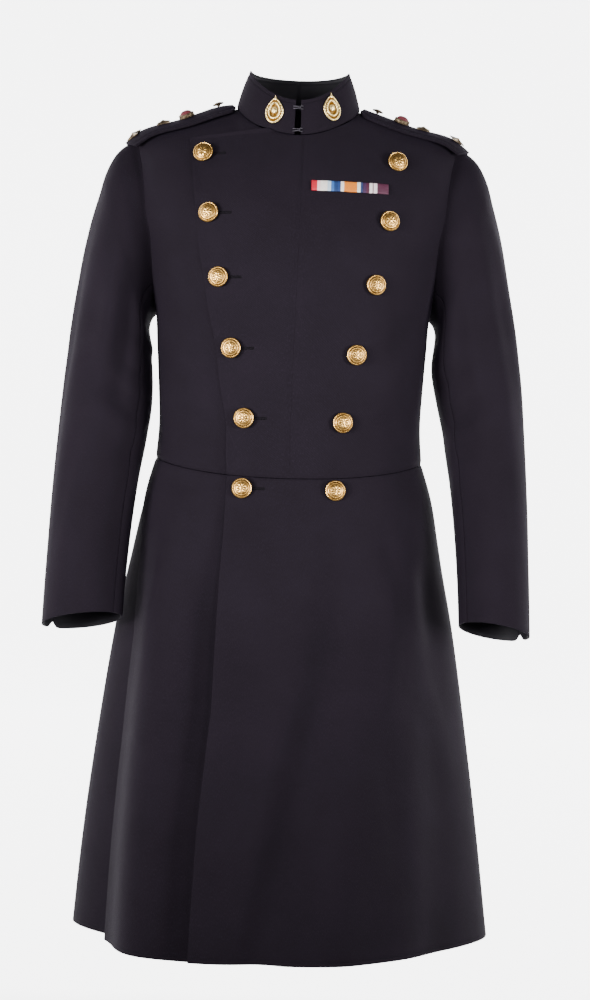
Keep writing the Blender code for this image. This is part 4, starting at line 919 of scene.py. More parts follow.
# the right strap arches up a little before its button.  columns: row half-width lift_right lift_left
STRAP = ((7.80, 0.0285, 0.0053, 0.0053), (8.02, 0.0285, 0.0047, 0.0047),
         (8.30, 0.0285, 0.0042, 0.0032), (8.60, 0.0282, 0.0040, 0.0021),
         (8.95, 0.0276, 0.0044, 0.0016), (9.25, 0.0268, 0.0050, 0.0014),
         (9.52, 0.0256, 0.0056, 0.0014), (9.72, 0.0240, 0.0048, 0.0014),
         (9.84, 0.0215, 0.0034, 0.0014), (9.92, 0.0170, 0.0022, 0.0014))
STRAP_SEWN_ROW = 8.02    # outside this row the strap goes straight on over the sleeve's head
STRAP_STITCH_INSET = 0.0040
STRAP_CROWN = 0.0008
STRAP_STEP = 0.1         # rows in which the strap's slope is measured
SHOULDER_ROW = 0.10      # metres to a row, along the shoulder


def strap_point(side, along, across, lift):
    """A point over the shoulder; along is a row of the bodice, across runs front (-) to back."""
    if along < STRAP_SEWN_ROW:
        edge, normal = strap_point(side, STRAP_SEWN_ROW, across, lift)
        inside = strap_point(side, STRAP_SEWN_ROW + STRAP_STEP, across, lift)[0]
        return edge + (edge - inside) * (STRAP_SEWN_ROW - along) / STRAP_STEP, normal
    values = section(BODICE, along)
    depth = abs(values[3] if across < 0 else values[5]) + values[1] * (1 if across < 0 else -1)
    share = min(abs(across) / depth, 0.95) ** (1.0 / values[7])
    degrees = (90.0 + math.copysign(math.degrees(math.asin(share)), across)) * HAND[side]
    normal = surface(bodice_skin, BODICE, (), along, degrees)[1]
    return bodice_skin(along, degrees) + normal * lift, normal


def strap_place(side, row, share):
    """A point of a strap with the groove of its stitching, and its normal."""
    half = curve_value(STRAP, row, 1)
    lift = curve_value(STRAP, row, 2 if side == "right" else 3) + STRAP_WALL
    inset = min(min(share, 1.0 - share) * half * 2.0, (row - STRAP[0][0]) * SHOULDER_ROW)
    groove = STITCH_GROOVE * math.exp(-((inset - STRAP_STITCH_INSET) / GROOVE_WIDTH) ** 2)
    crown = STRAP_CROWN * math.sin(math.pi * share) ** 0.7
    point, normal = strap_point(side, row, half * (2.0 * share - 1.0), lift)
    return point + normal * (crown - groove), normal


for side in HAND:
    sew_piece(f"shoulder_strap_{side}", lambda share, row: strap_place(side, row, share), 44,
              steps(STRAP[0][0], STRAP[-1][0], 80) + [STRAP[-1][0]], (0.0, 0.0, 0.0, 0.0),
              lambda row: 2.0 * curve_value(STRAP, row, 1), (broadcloth,),
              wall=STRAP_WALL, soft_edge=0.0011)


# Machine stitching and worked buttonholes.
# Black silk twist. Stitches 2.6 mm long lie in the grooves of the collar and straps; a buttonhole
# has close cross stitches round its slit, and reaches from under its button towards the middle.
twist, shader = start_material("black_silk_twist", 0.75)
place = add_node(twist.node_tree, "ShaderNodeTexCoord", {})
plies = add_node(twist.node_tree, "ShaderNodeTexWave", {
    "Vector": place.outputs["Object"], "Scale": 600.0, "Distortion": 1.0}, bands_direction="DIAGONAL")
shade = add_node(twist.node_tree, "ShaderNodeMix", {
    "Factor": plies.outputs["Fac"], "A": linear("#040305"), "B": linear("#0B090D")}, data_type="RGBA")
twist.node_tree.links.new(shade.outputs["Result"], shader.inputs["Base Color"])
shader.inputs["Specular IOR Level"].default_value = 0.08
STITCH_PITCH, STITCH_LENGTH, STITCH_RADIUS = 0.0033, 0.0026, 0.00032
STITCH_RISE = 0.35       # share of its radius by which a stitch's middle stands over the cloth
SHARP_ANGLE = 38.0       # harder edges than this many degrees stay crisp
COLLAR_LINE = (5.0, 179.0, 150)          # degrees of the line round a collar half, and its points
STRAP_LINE, STRAP_LINE_POINTS = (STRAP[0][0] + 0.04, STRAP[-1][0] - 0.03), 90    # rows, on each side
# a buttonhole: slit, the stitches over its two lips, and four long ones that bar its end
HOLE_LENGTH, HOLE_START = 0.0210, 0.0050
HOLE_PITCH, HOLE_LIP, HOLE_STITCH, HOLE_RADIUS, HOLE_SLANT = 0.00072, 0.0010, 0.0018, 0.00036, 0.12
BAR_HEIGHTS, BAR_START, BAR_STITCH, BAR_RADIUS = (-0.0012, -0.0004, 0.0004, 0.0012), 0.0006, 0.0022, 0.0004


def add_stitch(bm, spot, along, normal, length, radius):
    """One stitch, lying half sunk in the cloth."""
    side = normal.cross(along).normalized()
    frame_here = Matrix((along.normalized() * length / 2.0, side * radius, normal * radius)).transposed()
    bmesh.ops.create_icosphere(bm, subdivisions=1, radius=1.0,
                               matrix=Matrix.Translation(spot + normal * radius * STITCH_RISE)
                               @ frame_here.to_4x4())


def finish_trim(name, bm, look, slot, *nodes):
    """Links a hard or sewn-on piece, riding on the coat."""
    bmesh.ops.remove_doubles(bm, verts=bm.verts, dist=1e-7)
    bmesh.ops.recalc_face_normals(bm, faces=bm.faces)
    piece = link_mesh(name, bm, look)
    piece.data.set_sharp_from_angle(angle=math.radians(SHARP_ANGLE))
    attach(piece, "root")
    if nodes:
        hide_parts(*nodes)


def stitch_path(name, path):
    """Stitches at an even pitch along a list of (point, normal)."""
    bm = bmesh.new()
    travelled, due = 0.0, STITCH_PITCH / 2.0
    for (low, _), (high, normal) in zip(path, path[1:]):
        length = (high - low).length
        while length > 0.0 and due <= travelled + length:
            add_stitch(bm, low.lerp(high, (due - travelled) / length), high - low, normal,
                       STITCH_LENGTH, STITCH_RADIUS)
            due += STITCH_PITCH
        travelled += length
    finish_trim(name, bm, twist, "navy_wool")


for side, hand in HAND.items():
    level = 1.0 - STITCH_INSET / COLLAR_HEIGHT
    stitch_path(f"collar_stitching_{side}",
                [collar_place(level, hand * degrees) for degrees in steps(*COLLAR_LINE)])
    path = []
    # outwards along the front edge, then back along the rear one
    for behind, ends in ((False, STRAP_LINE[::-1]), (True, STRAP_LINE)):
        for row in steps(*ends, STRAP_LINE_POINTS):
            share = STRAP_STITCH_INSET / (2.0 * curve_value(STRAP, row, 1))
            path.append(strap_place(side, row, 1.0 - share if behind else share))
    stitch_path(f"strap_stitching_{side}", path)


BUTTON_WAIST = -0.462    # buttons below this height sit on the skirt


def on_front(x, z):
    """A place on the lapping front: its point and normal."""
    table, place_on, cloth_lift = (BODICE, bodice, lapel_lift if x < 0.0 else fore_lift) \
        if z > BUTTON_WAIST else (SKIRT, skirt, front_skirt_lift)
    row = row_at_z(table, x, z)
    degrees = angle_at_x(table, row, x)
    return place_on(row, degrees, cloth_lift(row, degrees))


bm = bmesh.new()
for right_x, z, _, _ in BUTTON_ROWS:
    for count in range(int(HOLE_LENGTH / HOLE_PITCH) + 1):
        x = right_x + HOLE_START + count * HOLE_PITCH
        for lip in (-1.0, 1.0):
            spot, normal = on_front(x, z + lip * HOLE_LIP)
            add_stitch(bm, spot, Vector((HOLE_SLANT * lip, 0.0, 1.0)), normal, HOLE_STITCH, HOLE_RADIUS)
    for height in BAR_HEIGHTS:
        spot, normal = on_front(right_x + HOLE_START + HOLE_LENGTH + BAR_START, z + height)
        add_stitch(bm, spot, Vector((1.0, 0.0, 0.0)), normal, BAR_STITCH, BAR_RADIUS)
finish_trim("worked_buttonholes", bm, twist, "navy_wool")


# Buttons.
# Shank buttons stamped from gilding metal: a dome with a corded rim, a fine ring and a rosette of
# eight petals. The high parts are polished by wear, and the ground between them has gone brown.
BUTTON_RADIUS, BUTTON_HEIGHT, BUTTON_TURNS = 0.0127, 0.0078, 112
SMALL_RADIUS, SMALL_HEIGHT, SMALL_TURNS = 0.0072, 0.0052, 64
BUTTON_LEVEL = 0.45      # a button hangs more upright than its cloth: share of the cloth's slope
SHANK_SHARE, SHANK_CUP = 0.26, 0.02      # shares of the radius: half width, hollow under the dome
RELIEF_SHARE = 0.045     # height of the stamped relief, as a share of the radius
FACE_DEPTH, RIM_SHARE = 0.33, 0.98       # the relief covers the face down to here, and the rim
CUFF_BUTTON_SECTIONS, CUFF_BUTTON_TURN = (14.85, 15.45), -10.0
STRAP_BUTTON_ROW = 9.66
# half section of the dome.  columns: share of the radius, height in radii below the top
BUTTON_SECTION = ((0.0, 0.0), (0.06, 0.001), (0.12, 0.003), (0.18, 0.007), (0.24, 0.013),
                  (0.30, 0.020), (0.36, 0.030), (0.42, 0.042), (0.48, 0.056), (0.54, 0.072),
                  (0.60, 0.092), (0.64, 0.106), (0.68, 0.122), (0.72, 0.140), (0.77, 0.164),
                  (0.82, 0.190), (0.86, 0.212), (0.89, 0.222), (0.92, 0.220), (0.95, 0.228),
                  (0.98, 0.250), (1.0, 0.290), (0.99, 0.340), (0.94, 0.380), (0.80, 0.410),
                  (0.30, 0.420))


def make_brass(name, bright, dull, roughness):
    """Stamped brass alloy: warm, polished on top, browned where a cloth never reaches."""
    made, shader = start_material(name, roughness, 1.0)
    tree = made.node_tree
    relief = add_node(tree, "ShaderNodeAttribute", {}, attribute_name="relief")
    coords = add_node(tree, "ShaderNodeTexCoord", {})
    cloud = add_node(tree, "ShaderNodeTexNoise", {
        "Vector": coords.outputs["Object"], "Scale": 320.0, "Detail": 3.0})
    worn = add_node(tree, "ShaderNodeMath", {
        0: relief.outputs["Fac"], 1: cloud.outputs["Fac"]}, operation="ADD")
    height = add_node(tree, "ShaderNodeMapRange", {
        "Value": worn.outputs["Value"], "From Min": 0.45, "From Max": 1.25})
    colour = add_node(tree, "ShaderNodeMix", {
        "Factor": height.outputs["Result"], "A": linear(dull), "B": linear(bright)}, data_type="RGBA")
    tree.links.new(colour.outputs["Result"], shader.inputs["Base Color"])
    gloss = add_node(tree, "ShaderNodeMapRange", {
        "Value": height.outputs["Result"], "To Min": roughness + 0.22, "To Max": roughness})
    tree.links.new(gloss.outputs["Result"], shader.inputs["Roughness"])
    grain = add_node(tree, "ShaderNodeBump", {
        "Height": cloud.outputs["Fac"], "Strength": 0.12, "Distance": 0.0002})
    tree.links.new(grain.outputs["Normal"], shader.inputs["Normal"])
    return made


brass = make_brass("stamped_gilding_metal", "#DDB066", "#68461A", 0.27)
bronze = make_brass("handled_bronze", "#97866E", "#3B3024", 0.42)


def bump(value, middle, width):
    """A soft hump of height 1 round the middle."""
    return math.exp(-((value - middle) / width) ** 2)


def rosette(share, angle):
    """Relief of a button's face, from 0 in the ground to about 1 on the highest parts."""
    petals = (0.5 + 0.5 * math.cos(8.0 * angle)) ** 0.8 * bump(share, 0.36, 0.15)
    between = (0.5 - 0.5 * math.cos(8.0 * angle)) ** 3 * bump(share, 0.50, 0.05) * 0.6
    ring = bump(share, 0.70, 0.028) * (0.75 + 0.25 * math.cos(40.0 * angle))
    cord = bump(share, 0.925, 0.045) * (0.72 + 0.28 * math.cos(56.0 * angle))
    return petals + between + bump(share, 0.0, 0.12) + ring + cord


def spin_section(profile, turns):
    """A half section, given by radius and height, spun once round Z."""
    bm = bmesh.new()
    line = [bm.verts.new((radius, 0.0, z)) for radius, z in profile]
    for low, high in zip(line, line[1:]):
        bm.edges.new((low, high))
    bmesh.ops.spin(bm, geom=bm.verts[:] + bm.edges[:], cent=(0, 0, 0), axis=(0, 0, 1),
                   angle=2.0 * math.pi, steps=turns, use_merge=True)
    bmesh.ops.remove_doubles(bm, verts=bm.verts, dist=1e-6)
    return bm


def spun_relief(profile, turns, relief, height, place, reach=None):
    """A spun blank with relief pressed into its face; reach shapes its outline by angle."""
    bm = spin_section(profile, turns)
    bmesh.ops.holes_fill(bm, edges=bm.edges, sides=turns)
    layer = bm.verts.layers.float.new("relief")
    outer = max(radius for radius, _ in profile)
    top = profile[0][1]
    for vert in bm.verts:
        share = math.hypot(vert.co.x, vert.co.y) / outer
        angle = math.atan2(vert.co.y, vert.co.x)
        facing = vert.co.z > top - outer * FACE_DEPTH or share > RIM_SHARE
        rise = relief(share, angle) if facing else 0.0
        vert[layer] = min(rise, 1.0)
        if facing:
            vert.co.z += height * rise
        if reach:
            vert.co.xy = vert.co.xy * reach(angle)
    bmesh.ops.transform(bm, matrix=place, verts=bm.verts)
    return bm


def seat(point, normal, spin=0.0):
    """Placement of a piece whose own Z stands on a surface, its Y as near upwards as can be."""
    up = Vector((0.0, 0.0, 1.0)) - normal * normal.z
    if up.length < 0.2:
        up = Vector((0.0, -1.0, 0.0)) - normal * -normal.y
    up.normalize()
    basis = Matrix((up.cross(normal), up, normal)).transposed().to_4x4()
    return Matrix.Translation(point + normal * SEAT) @ basis @ Matrix.Rotation(spin, 4, "Z")


def make_button(node, radius, height, turns, point, normal, spin, metal=brass):
    """A shank button that stands on a point."""
    profile = [(radius * share, height - radius * drop) for share, drop in BUTTON_SECTION]
    profile += [(radius * SHANK_SHARE, radius * SHANK_CUP), (0.0, 0.0)]
    bm = spun_relief(profile, turns, rosette, radius * RELIEF_SHARE, seat(point, normal, spin))
    finish_trim(f"stamped_{node}", bm, metal, "brass", node)


for number, (right_x, right_z, left_x, left_z) in enumerate(BUTTON_ROWS, 1):
    for side, x, z in (("right", right_x, right_z), ("left", left_x, left_z)):
        point, normal = on_front(x, z)
        upright = Vector((normal.x, normal.y, normal.z * BUTTON_LEVEL)).normalized()
        clear = SHANK_SHARE * BUTTON_RADIUS * normal.cross(upright).length
        make_button(f"button_{side}_{number}", BUTTON_RADIUS, BUTTON_HEIGHT, BUTTON_TURNS,
                    point + normal * clear, upright, 0.35 * number + 0.2 * (x > 0.0))
for side in HAND:
    for number, part in enumerate(CUFF_BUTTON_SECTIONS, 1):
        down = blend(0.0, CUFF_SECTION, part)
        turn = HINDARM_SEAM[0] + (HINDARM_SEAM[1] - HINDARM_SEAM[0]) * down + CUFF_BUTTON_TURN
        make_button(f"cuff_button_{side}_{number}", SMALL_RADIUS, SMALL_HEIGHT, SMALL_TURNS,
                    sleeve_skin(side, part, turn), sleeve_normal(side, part, turn), 0.3 * number)
    point, normal = strap_place(side, STRAP_BUTTON_ROW, 0.5)
    make_button(f"strap_button_{side}", SMALL_RADIUS, SMALL_HEIGHT, SMALL_TURNS, point, normal, 0.1,
                bronze)


# Collar badges.
# Gilt wreaths, struck in thin sheet and curved to the collar: two sprays of leaves tied at the foot
# round a small boss. A plain design of like size and colour takes the place of the real device.
gilt = make_brass("bright_gilt_metal", "#FFE29A", "#7A5218", 0.30)
BADGE_HALF_WIDTH, BADGE_HALF_HEIGHT = 0.0124, 0.0176
BADGE_CURVE = 0.070      # radius of the collar under a badge
BADGE_TAPER = 0.50       # the sprays lean together above, so that the wreath is drawn to a point
BADGE_LEVEL, BADGE_FROM_MIDDLE = 0.53, {"left": 0.0425, "right": 0.0300}
COLLAR_FRONT_RADIUS = 0.0725
# each spray has two rows of leaves.  columns: share of the badge's size, how far a leaf leans
LEAF_ROWS, LEAVES, FIRST_LEAF, LEAF_STEP = ((0.60, 0.45), (0.93, -0.25)), 12, -80.0, 14.4
LEAF_SIZE, LEAF_LEVEL, LEAF_OVERLAP = (0.0028, 0.00135, 0.0011), 0.0012, 0.0003
SPRAY_SHARE, LEAN_SHARE = 0.95, 0.8
BOSS_SECTION = ((0.0, 0.0026), (0.0010, 0.0025), (0.0018, 0.0023), (0.0026, 0.0020),
                (0.0032, 0.0017), (0.0037, 0.0015), (0.0041, 0.0014), (0.0044, 0.0010),
                (0.0044, 0.0002), (0.0, 0.0002))
PLATE_SHARES, PLATE_THICK = (0.78, 0.80), 0.0009


def add_leaf(bm, x, y, z, angle, length, width, thick):
    """One struck leaf: a flattened bead drawn to a point, lying at an angle."""
    made = bmesh.ops.create_uvsphere(bm, u_segments=10, v_segments=7, radius=1.0)
    for vert in made["verts"]:
        taper = 1.0 - 0.55 * max(vert.co.x, 0.0)
        vert.co.y *= taper
        vert.co.z += 0.25 * (1.0 - abs(vert.co.y) ** 0.5) * (vert.co.z > 0.0)
    shape = Matrix.Translation((x, y, z)) @ Matrix.Rotation(angle, 4, "Z") \
        @ Matrix.Diagonal((length, width, thick, 1.0))
    bmesh.ops.transform(bm, matrix=shape, verts=made["verts"])


def boss_relief(share, angle):
    """Relief of the boss: six beads inside a plain rim."""
    return bump(share, 0.45, 0.2) * (0.5 + 0.5 * math.cos(6 * angle)) + bump(share, 0.9, 0.08)


for side, from_middle in BADGE_FROM_MIDDLE.items():
    degrees = math.degrees(math.asin(from_middle / COLLAR_FRONT_RADIUS)) * HAND[side]
    point, normal = collar_place(BADGE_LEVEL, degrees)
    bm = bmesh.new()
    for mirror in (-1.0, 1.0):
        for count in range(LEAVES):
            around = math.radians(FIRST_LEAF + count * LEAF_STEP)
            for row, lean in LEAF_ROWS:
                px = mirror * BADGE_HALF_WIDTH * row * SPRAY_SHARE * math.cos(around)
                py = BADGE_HALF_HEIGHT * row * SPRAY_SHARE * math.sin(around)
                heading = around + math.pi / 2.0 + lean * LEAN_SHARE
                level = LEAF_LEVEL + LEAF_OVERLAP * (row == LEAF_ROWS[0][0])
                add_leaf(bm, px, py, level, heading if mirror > 0 else math.pi - heading, *LEAF_SIZE)
    # a leaf across the foot, where the sprays are tied
    add_leaf(bm, 0.0, -BADGE_HALF_HEIGHT * 0.90, LEAF_LEVEL, 0.0, 0.0030, 0.0014, 0.0013)
    boss = spun_relief(BOSS_SECTION, 48, boss_relief, 0.0005, Matrix.Identity(4))
    boss_mesh = bpy.data.meshes.new("boss")
    boss.to_mesh(boss_mesh)
    boss.free()
    bm.from_mesh(boss_mesh)
    bpy.data.meshes.remove(boss_mesh)
    plate = bmesh.ops.create_circle(bm, cap_ends=True, segments=48, radius=1.0)["verts"]
    bmesh.ops.scale(bm, vec=(BADGE_HALF_WIDTH * PLATE_SHARES[0], BADGE_HALF_HEIGHT * PLATE_SHARES[1],
                             1.0), verts=plate)
    rim = bmesh.ops.extrude_face_region(bm, geom=list({f for v in plate for f in v.link_faces}))
    bmesh.ops.translate(bm, vec=(0.0, 0.0, PLATE_THICK),
                        verts=[v for v in rim["geom"] if isinstance(v, bmesh.types.BMVert)])
    # and one upright at the point
    add_leaf(bm, 0.0, BADGE_HALF_HEIGHT * 0.93, 0.0014, math.pi / 2.0, 0.0036, 0.0018, 0.0012)
    layer = bm.verts.layers.float.get("relief") or bm.verts.layers.float.new("relief")
    for vert in bm.verts:
        vert[layer] = max(vert[layer], blend(PLATE_THICK, 0.0021, vert.co.z))
        vert.co.x *= 1.0 - BADGE_TAPER * max(vert.co.y / BADGE_HALF_HEIGHT, 0.0) ** 1.3
        vert.co.z -= vert.co.x ** 2 / (2.0 * BADGE_CURVE)
    bmesh.ops.transform(bm, matrix=seat(point, normal), verts=bm.verts)
    finish_trim(f"wreath_badge_{side}", bm, gilt, "gilt", f"collar_badge_{side}")


# Strap ornaments.
# On each strap two four-pointed stars struck in bronze, and nearer the neck a red velvet cushion in
# a bronze band. All are plain shapes in the place of the real marks of rank. Their metal is duller
# than the buttons', because handling has browned it.
velvet, shader = start_material("red_silk_velvet", 0.75)
tree = velvet.node_tree
coords = add_node(tree, "ShaderNodeTexCoord", {})
pile = add_node(tree, "ShaderNodeTexNoise", {
    "Vector": coords.outputs["Object"], "Scale": 900.0, "Detail": 3.0})
red = add_node(tree, "ShaderNodeMix", {
    "Factor": pile.outputs["Fac"], "A": linear("#30060E"), "B": linear("#6A1422")}, data_type="RGBA")
tree.links.new(red.outputs["Result"], shader.inputs["Base Color"])
tuft = add_node(tree, "ShaderNodeBump", {
    "Height": pile.outputs["Fac"], "Strength": 0.5, "Distance": 0.0004})
tree.links.new(tuft.outputs["Normal"], shader.inputs["Normal"])
shader.inputs["Sheen Weight"].default_value = 0.15
shader.inputs["Sheen Tint"].default_value = linear("#D08A90")
ORNAMENT_ACROSS = -0.006     # they lie a little in front of the strap's middle
SLOPE_ROWS, SLOPE_SHARE = 0.1, 0.15      # the piece of strap whose slope an ornament takes
# columns: side, rows of its outer star, inner star and cushion
ORNAMENT_ROWS = (("left", 8.10, 8.74, 9.17), ("right", 8.00, 8.58, 9.03))
STAR_OUTER, STAR_INNER = 0.0125, 0.0072
STAR_SECTION = ((0.0, 0.0042), (0.0012, 0.0041), (0.0020, 0.0038), (0.0028, 0.0032),
                (0.0036, 0.0030), (0.0046, 0.0027), (0.0058, 0.0023), (0.0072, 0.0019),
                (0.0086, 0.0016), (0.0100, 0.0013), (0.0113, 0.0010), (0.0122, 0.0008),
                (0.0125, 0.0004), (0.0125, 0.0), (0.0, 0.0))
BAND_SECTION = ((0.0, 0.0040), (0.0078, 0.0042), (0.0082, 0.0046), (0.0090, 0.0046),
                (0.0098, 0.0042), (0.0100, 0.0034), (0.0098, 0.0022), (0.0100, 0.0010),
                (0.0105, 0.0006), (0.0105, 0.0), (0.0, 0.0))
CUSHION_SECTION = ((0.0, 0.0088), (0.0010, 0.0088), (0.0024, 0.0086), (0.0038, 0.0083),
                   (0.0050, 0.0078), (0.0062, 0.0070), (0.0071, 0.0060), (0.0077, 0.0052),
                   (0.0079, 0.0046), (0.0079, 0.0043), (0.0, 0.0043))
ORNAMENT_TURNS = 96


def star_reach(angle):
    """Outline of a four-pointed star as a share of its outer radius."""
    half = math.pi / 4.0
    within = abs((angle - math.pi / 2.0 + half) % (math.pi / 2.0) - half)
    return STAR_INNER * math.sin(half) / (STAR_INNER * math.sin(half - within)
                                          + STAR_OUTER * math.sin(within))


def star_relief(share, angle):
    """Relief of a star: ribbed rays round a ringed boss."""
    rays = abs(math.cos(2.0 * angle)) ** 2 * bump(share, 0.62, 0.35) \
        * (0.8 + 0.2 * math.cos(32.0 * angle))
    return rays + bump(share, 0.0, 0.10) + 0.9 * bump(share, 0.26, 0.045)


def band_relief(share, angle):
    """Relief of the band: a beaded rim."""
    return bump(share, 0.86, 0.06) * (0.6 + 0.4 * math.cos(24 * angle))


def cushion_relief(share, angle):
    """Relief of the cushion: eight tucks and a dimple."""
    return -bump(share, 0.7, 0.35) * (0.5 + 0.5 * math.cos(8 * angle)) ** 6 \
        - 1.2 * bump(share, 0.0, 0.12)


def strap_seat(side, row):
    """Placement of an ornament on a strap."""
    share = 0.5 + ORNAMENT_ACROSS / (2.0 * curve_value(STRAP, row, 1))
    point, _ = strap_place(side, row, share)
    before, beyond = (strap_place(side, row + part, share)[0] for part in (-SLOPE_ROWS, SLOPE_ROWS))
    front, back = (strap_place(side, row, share + part)[0] for part in (-SLOPE_SHARE, SLOPE_SHARE))
    normal = (beyond - before).cross(back - front).normalized()
    return seat(point, normal if normal.z > 0 else -normal)


for side, outer_row, inner_row, cushion_row in ORNAMENT_ROWS:
    for number, row in enumerate((outer_row, inner_row), 1):
        bm = spun_relief(STAR_SECTION, ORNAMENT_TURNS, star_relief, 0.0006, strap_seat(side, row),
                         star_reach)
        finish_trim(f"struck_star_{side}_{number}", bm, bronze, "brass", f"strap_star_{side}_{number}")
    base = strap_seat(side, cushion_row)
    bm = spun_relief(BAND_SECTION, ORNAMENT_TURNS, band_relief, 0.0004, base)
    finish_trim(f"gilt_band_{side}", bm, bronze, "brass", f"strap_crown_{side}")
    bm = spun_relief(CUSHION_SECTION, ORNAMENT_TURNS, cushion_relief, 0.0006, base)
    finish_trim(f"velvet_cushion_{side}", bm, velvet, "red_velvet", f"strap_cushion_{side}")


# Ribbon bar.
# Three watered silk ribbons side by side, each turned over a narrow bar and stitched behind. The
# silk has fine cross ribs, pressed to a soft watered gloss. The stripes are plain common ones.
RIBBON_START, RIBBON_END = 0.0190, 0.1134
RIBBON_TOP, RIBBON_FOOT = -0.1028, -0.1158
RIBBON_SLOPE, RIBBON_SEAT, RIBBON_WALL = 0.0008, 0.0006, 0.0016
RIBBON_ROLL, RIBBON_WAVE, WAVES = 0.0006, 0.0002, 9.0    # round edges, and a slight cockle
# stripes, from the middle of the breast outwards.  columns: where it starts (share), colour
RIBBONS = (
    ("ribbon_red", ((0.0, "#B01028"), (0.22, "#DDB8BA"), (0.34, "#DAD2CC"), (0.62, "#A8BCCE"),
                    (0.76, "#2A5C9C"), (0.88, "#10305F"))),
    ("ribbon_orange", ((0.0, "#14346A"), (0.13, "#DAD2CC"), (0.26, "#C87010"), (0.77, "#C4CCC8"),
                       (0.91, "#1C2C58"))),
    ("ribbon_claret", ((0.0, "#36163E"), (0.12, "#420C2A"), (0.25, "#DAD0CE"), (0.37, "#5A2034"),
                       (0.41, "#D6C8CA"), (0.55, "#420C2A"))),
)


def make_ribbon_silk(name, stripes, width):
    """Watered silk with woven stripes."""
    made, shader = start_material(name, 0.52)
    tree = made.node_tree
    coords = add_node(tree, "ShaderNodeTexCoord", {})
    axes = add_node(tree, "ShaderNodeSeparateXYZ", {"Vector": coords.outputs["UV"]})
    across = add_node(tree, "ShaderNodeMapRange", {
        "Value": axes.outputs["X"], "From Min": -width / 2.0, "From Max": width / 2.0})
    ramp = add_node(tree, "ShaderNodeValToRGB", {"Fac": across.outputs["Result"]})
    ramp.color_ramp.interpolation = "CONSTANT"
    ramp.color_ramp.elements.remove(ramp.color_ramp.elements[1])
    for count, (start, code) in enumerate(stripes):
        stop = ramp.color_ramp.elements[0] if count == 0 else ramp.color_ramp.elements.new(start)
        stop.position, stop.color = start, linear(code)
    # cross ribs 0.55 mm apart, and the watering: slow waves of gloss over them
    ribs = add_node(tree, "ShaderNodeTexWave", {
        "Vector": coords.outputs["UV"], "Scale": 570.0}, bands_direction="Y")
    water = add_node(tree, "ShaderNodeTexNoise", {
        "Vector": coords.outputs["UV"], "Scale": 260.0, "Detail": 2.0, "Distortion": 1.5})
    shade = add_node(tree, "ShaderNodeMapRange", {
        "Value": water.outputs["Fac"], "To Min": 0.72, "To Max": 1.15})
    silk = add_node(tree, "ShaderNodeMix", {
        "Factor": 1.0, "A": ramp.outputs["Color"], "B": shade.outputs["Result"]}, data_type="RGBA",
        blend_type="MULTIPLY")
    tree.links.new(silk.outputs["Result"], shader.inputs["Base Color"])
    raised = add_node(tree, "ShaderNodeBump", {
        "Height": ribs.outputs["Fac"], "Strength": 0.4, "Distance": 0.0003})
    tree.links.new(raised.outputs["Normal"], shader.inputs["Normal"])
    return made


def ribbon_place(number, share, level):
    """A point of a ribbon and its normal; level 0 is its lower edge."""
    width = (RIBBON_END - RIBBON_START) / len(RIBBONS)
    x = RIBBON_START + number * width + (width - SEAT) * share
    z = RIBBON_FOOT + (RIBBON_TOP - RIBBON_FOOT) * level
    z -= RIBBON_SLOPE * (x - RIBBON_START) / (RIBBON_END - RIBBON_START)
    row = row_at_z(BODICE, x, z)
    degrees = angle_at_x(BODICE, row, x)
    roll = RIBBON_ROLL * (2.0 * level - 1.0) ** 4 + RIBBON_WAVE * math.sin(WAVES * x / width + number)
    return bodice(row, degrees, fore_lift(row, degrees) + RIBBON_SEAT + RIBBON_WALL - roll)


for number, (slot_name, stripes) in enumerate(RIBBONS):
    width = (RIBBON_END - RIBBON_START) / len(RIBBONS) - SEAT
    silk = make_ribbon_silk(f"watered_silk_{slot_name}", stripes, width)
    sew_piece(f"ribbon_{number + 1}", lambda share, level: ribbon_place(number, share, level), 40,
              steps(0.0, 1.0, 16) + [1.0], (0.0, 0.0, 0.0, 0.0), lambda level: width,
              (silk,), wall=RIBBON_WALL,
              soft_edge=0.0005)


# Hooks and eyes.
# Two of nickel-plated steel wire hold the collar's front ends together, above and below. Each is a
# bent loop with its two feet sewn down; handling has greyed the plating in places.
plating, shader = start_material("nickel_plated_wire", 0.50, 1.0)
tree = plating.node_tree
coords = add_node(tree, "ShaderNodeTexCoord", {})
wear = add_node(tree, "ShaderNodeTexNoise", {
    "Vector": coords.outputs["Object"], "Scale": 700.0, "Detail": 4.0})
coat = add_node(tree, "ShaderNodeMix", {
    "Factor": wear.outputs["Fac"], "A": linear("#2E2B2F"), "B": linear("#625E66")}, data_type="RGBA")
tree.links.new(coat.outputs["Result"], shader.inputs["Base Color"])
HOOK_LEVELS, HOOK_OUT, WIRE_RADIUS = (0.76, 0.10), 0.00078, 0.00075
HOOK_TURN = 4.0          # degrees from the middle to each front end
# the wire's path.  columns: across, up, out
HOOK_PATH = ((-0.0062, 0.0014, 0.0), (-0.0050, 0.0016, 0.0004), (-0.0016, 0.0012, 0.0010),
             (0.0012, 0.0010, 0.0013), (0.0026, 0.0005, 0.0012), (0.0026, -0.0005, 0.0012),
             (0.0012, -0.0010, 0.0013), (-0.0016, -0.0012, 0.0010), (-0.0050, -0.0016, 0.0004),
             (-0.0062, -0.0014, 0.0))
EYE_PATH = ((0.0062, 0.0018, 0.0), (0.0046, 0.0019, 0.0003), (0.0024, 0.0015, 0.0003),
            (0.0010, 0.0008, 0.0002), (0.0006, 0.0, 0.0002), (0.0010, -0.0008, 0.0002),
            (0.0024, -0.0015, 0.0003), (0.0046, -0.0019, 0.0003), (0.0062, -0.0018, 0.0))


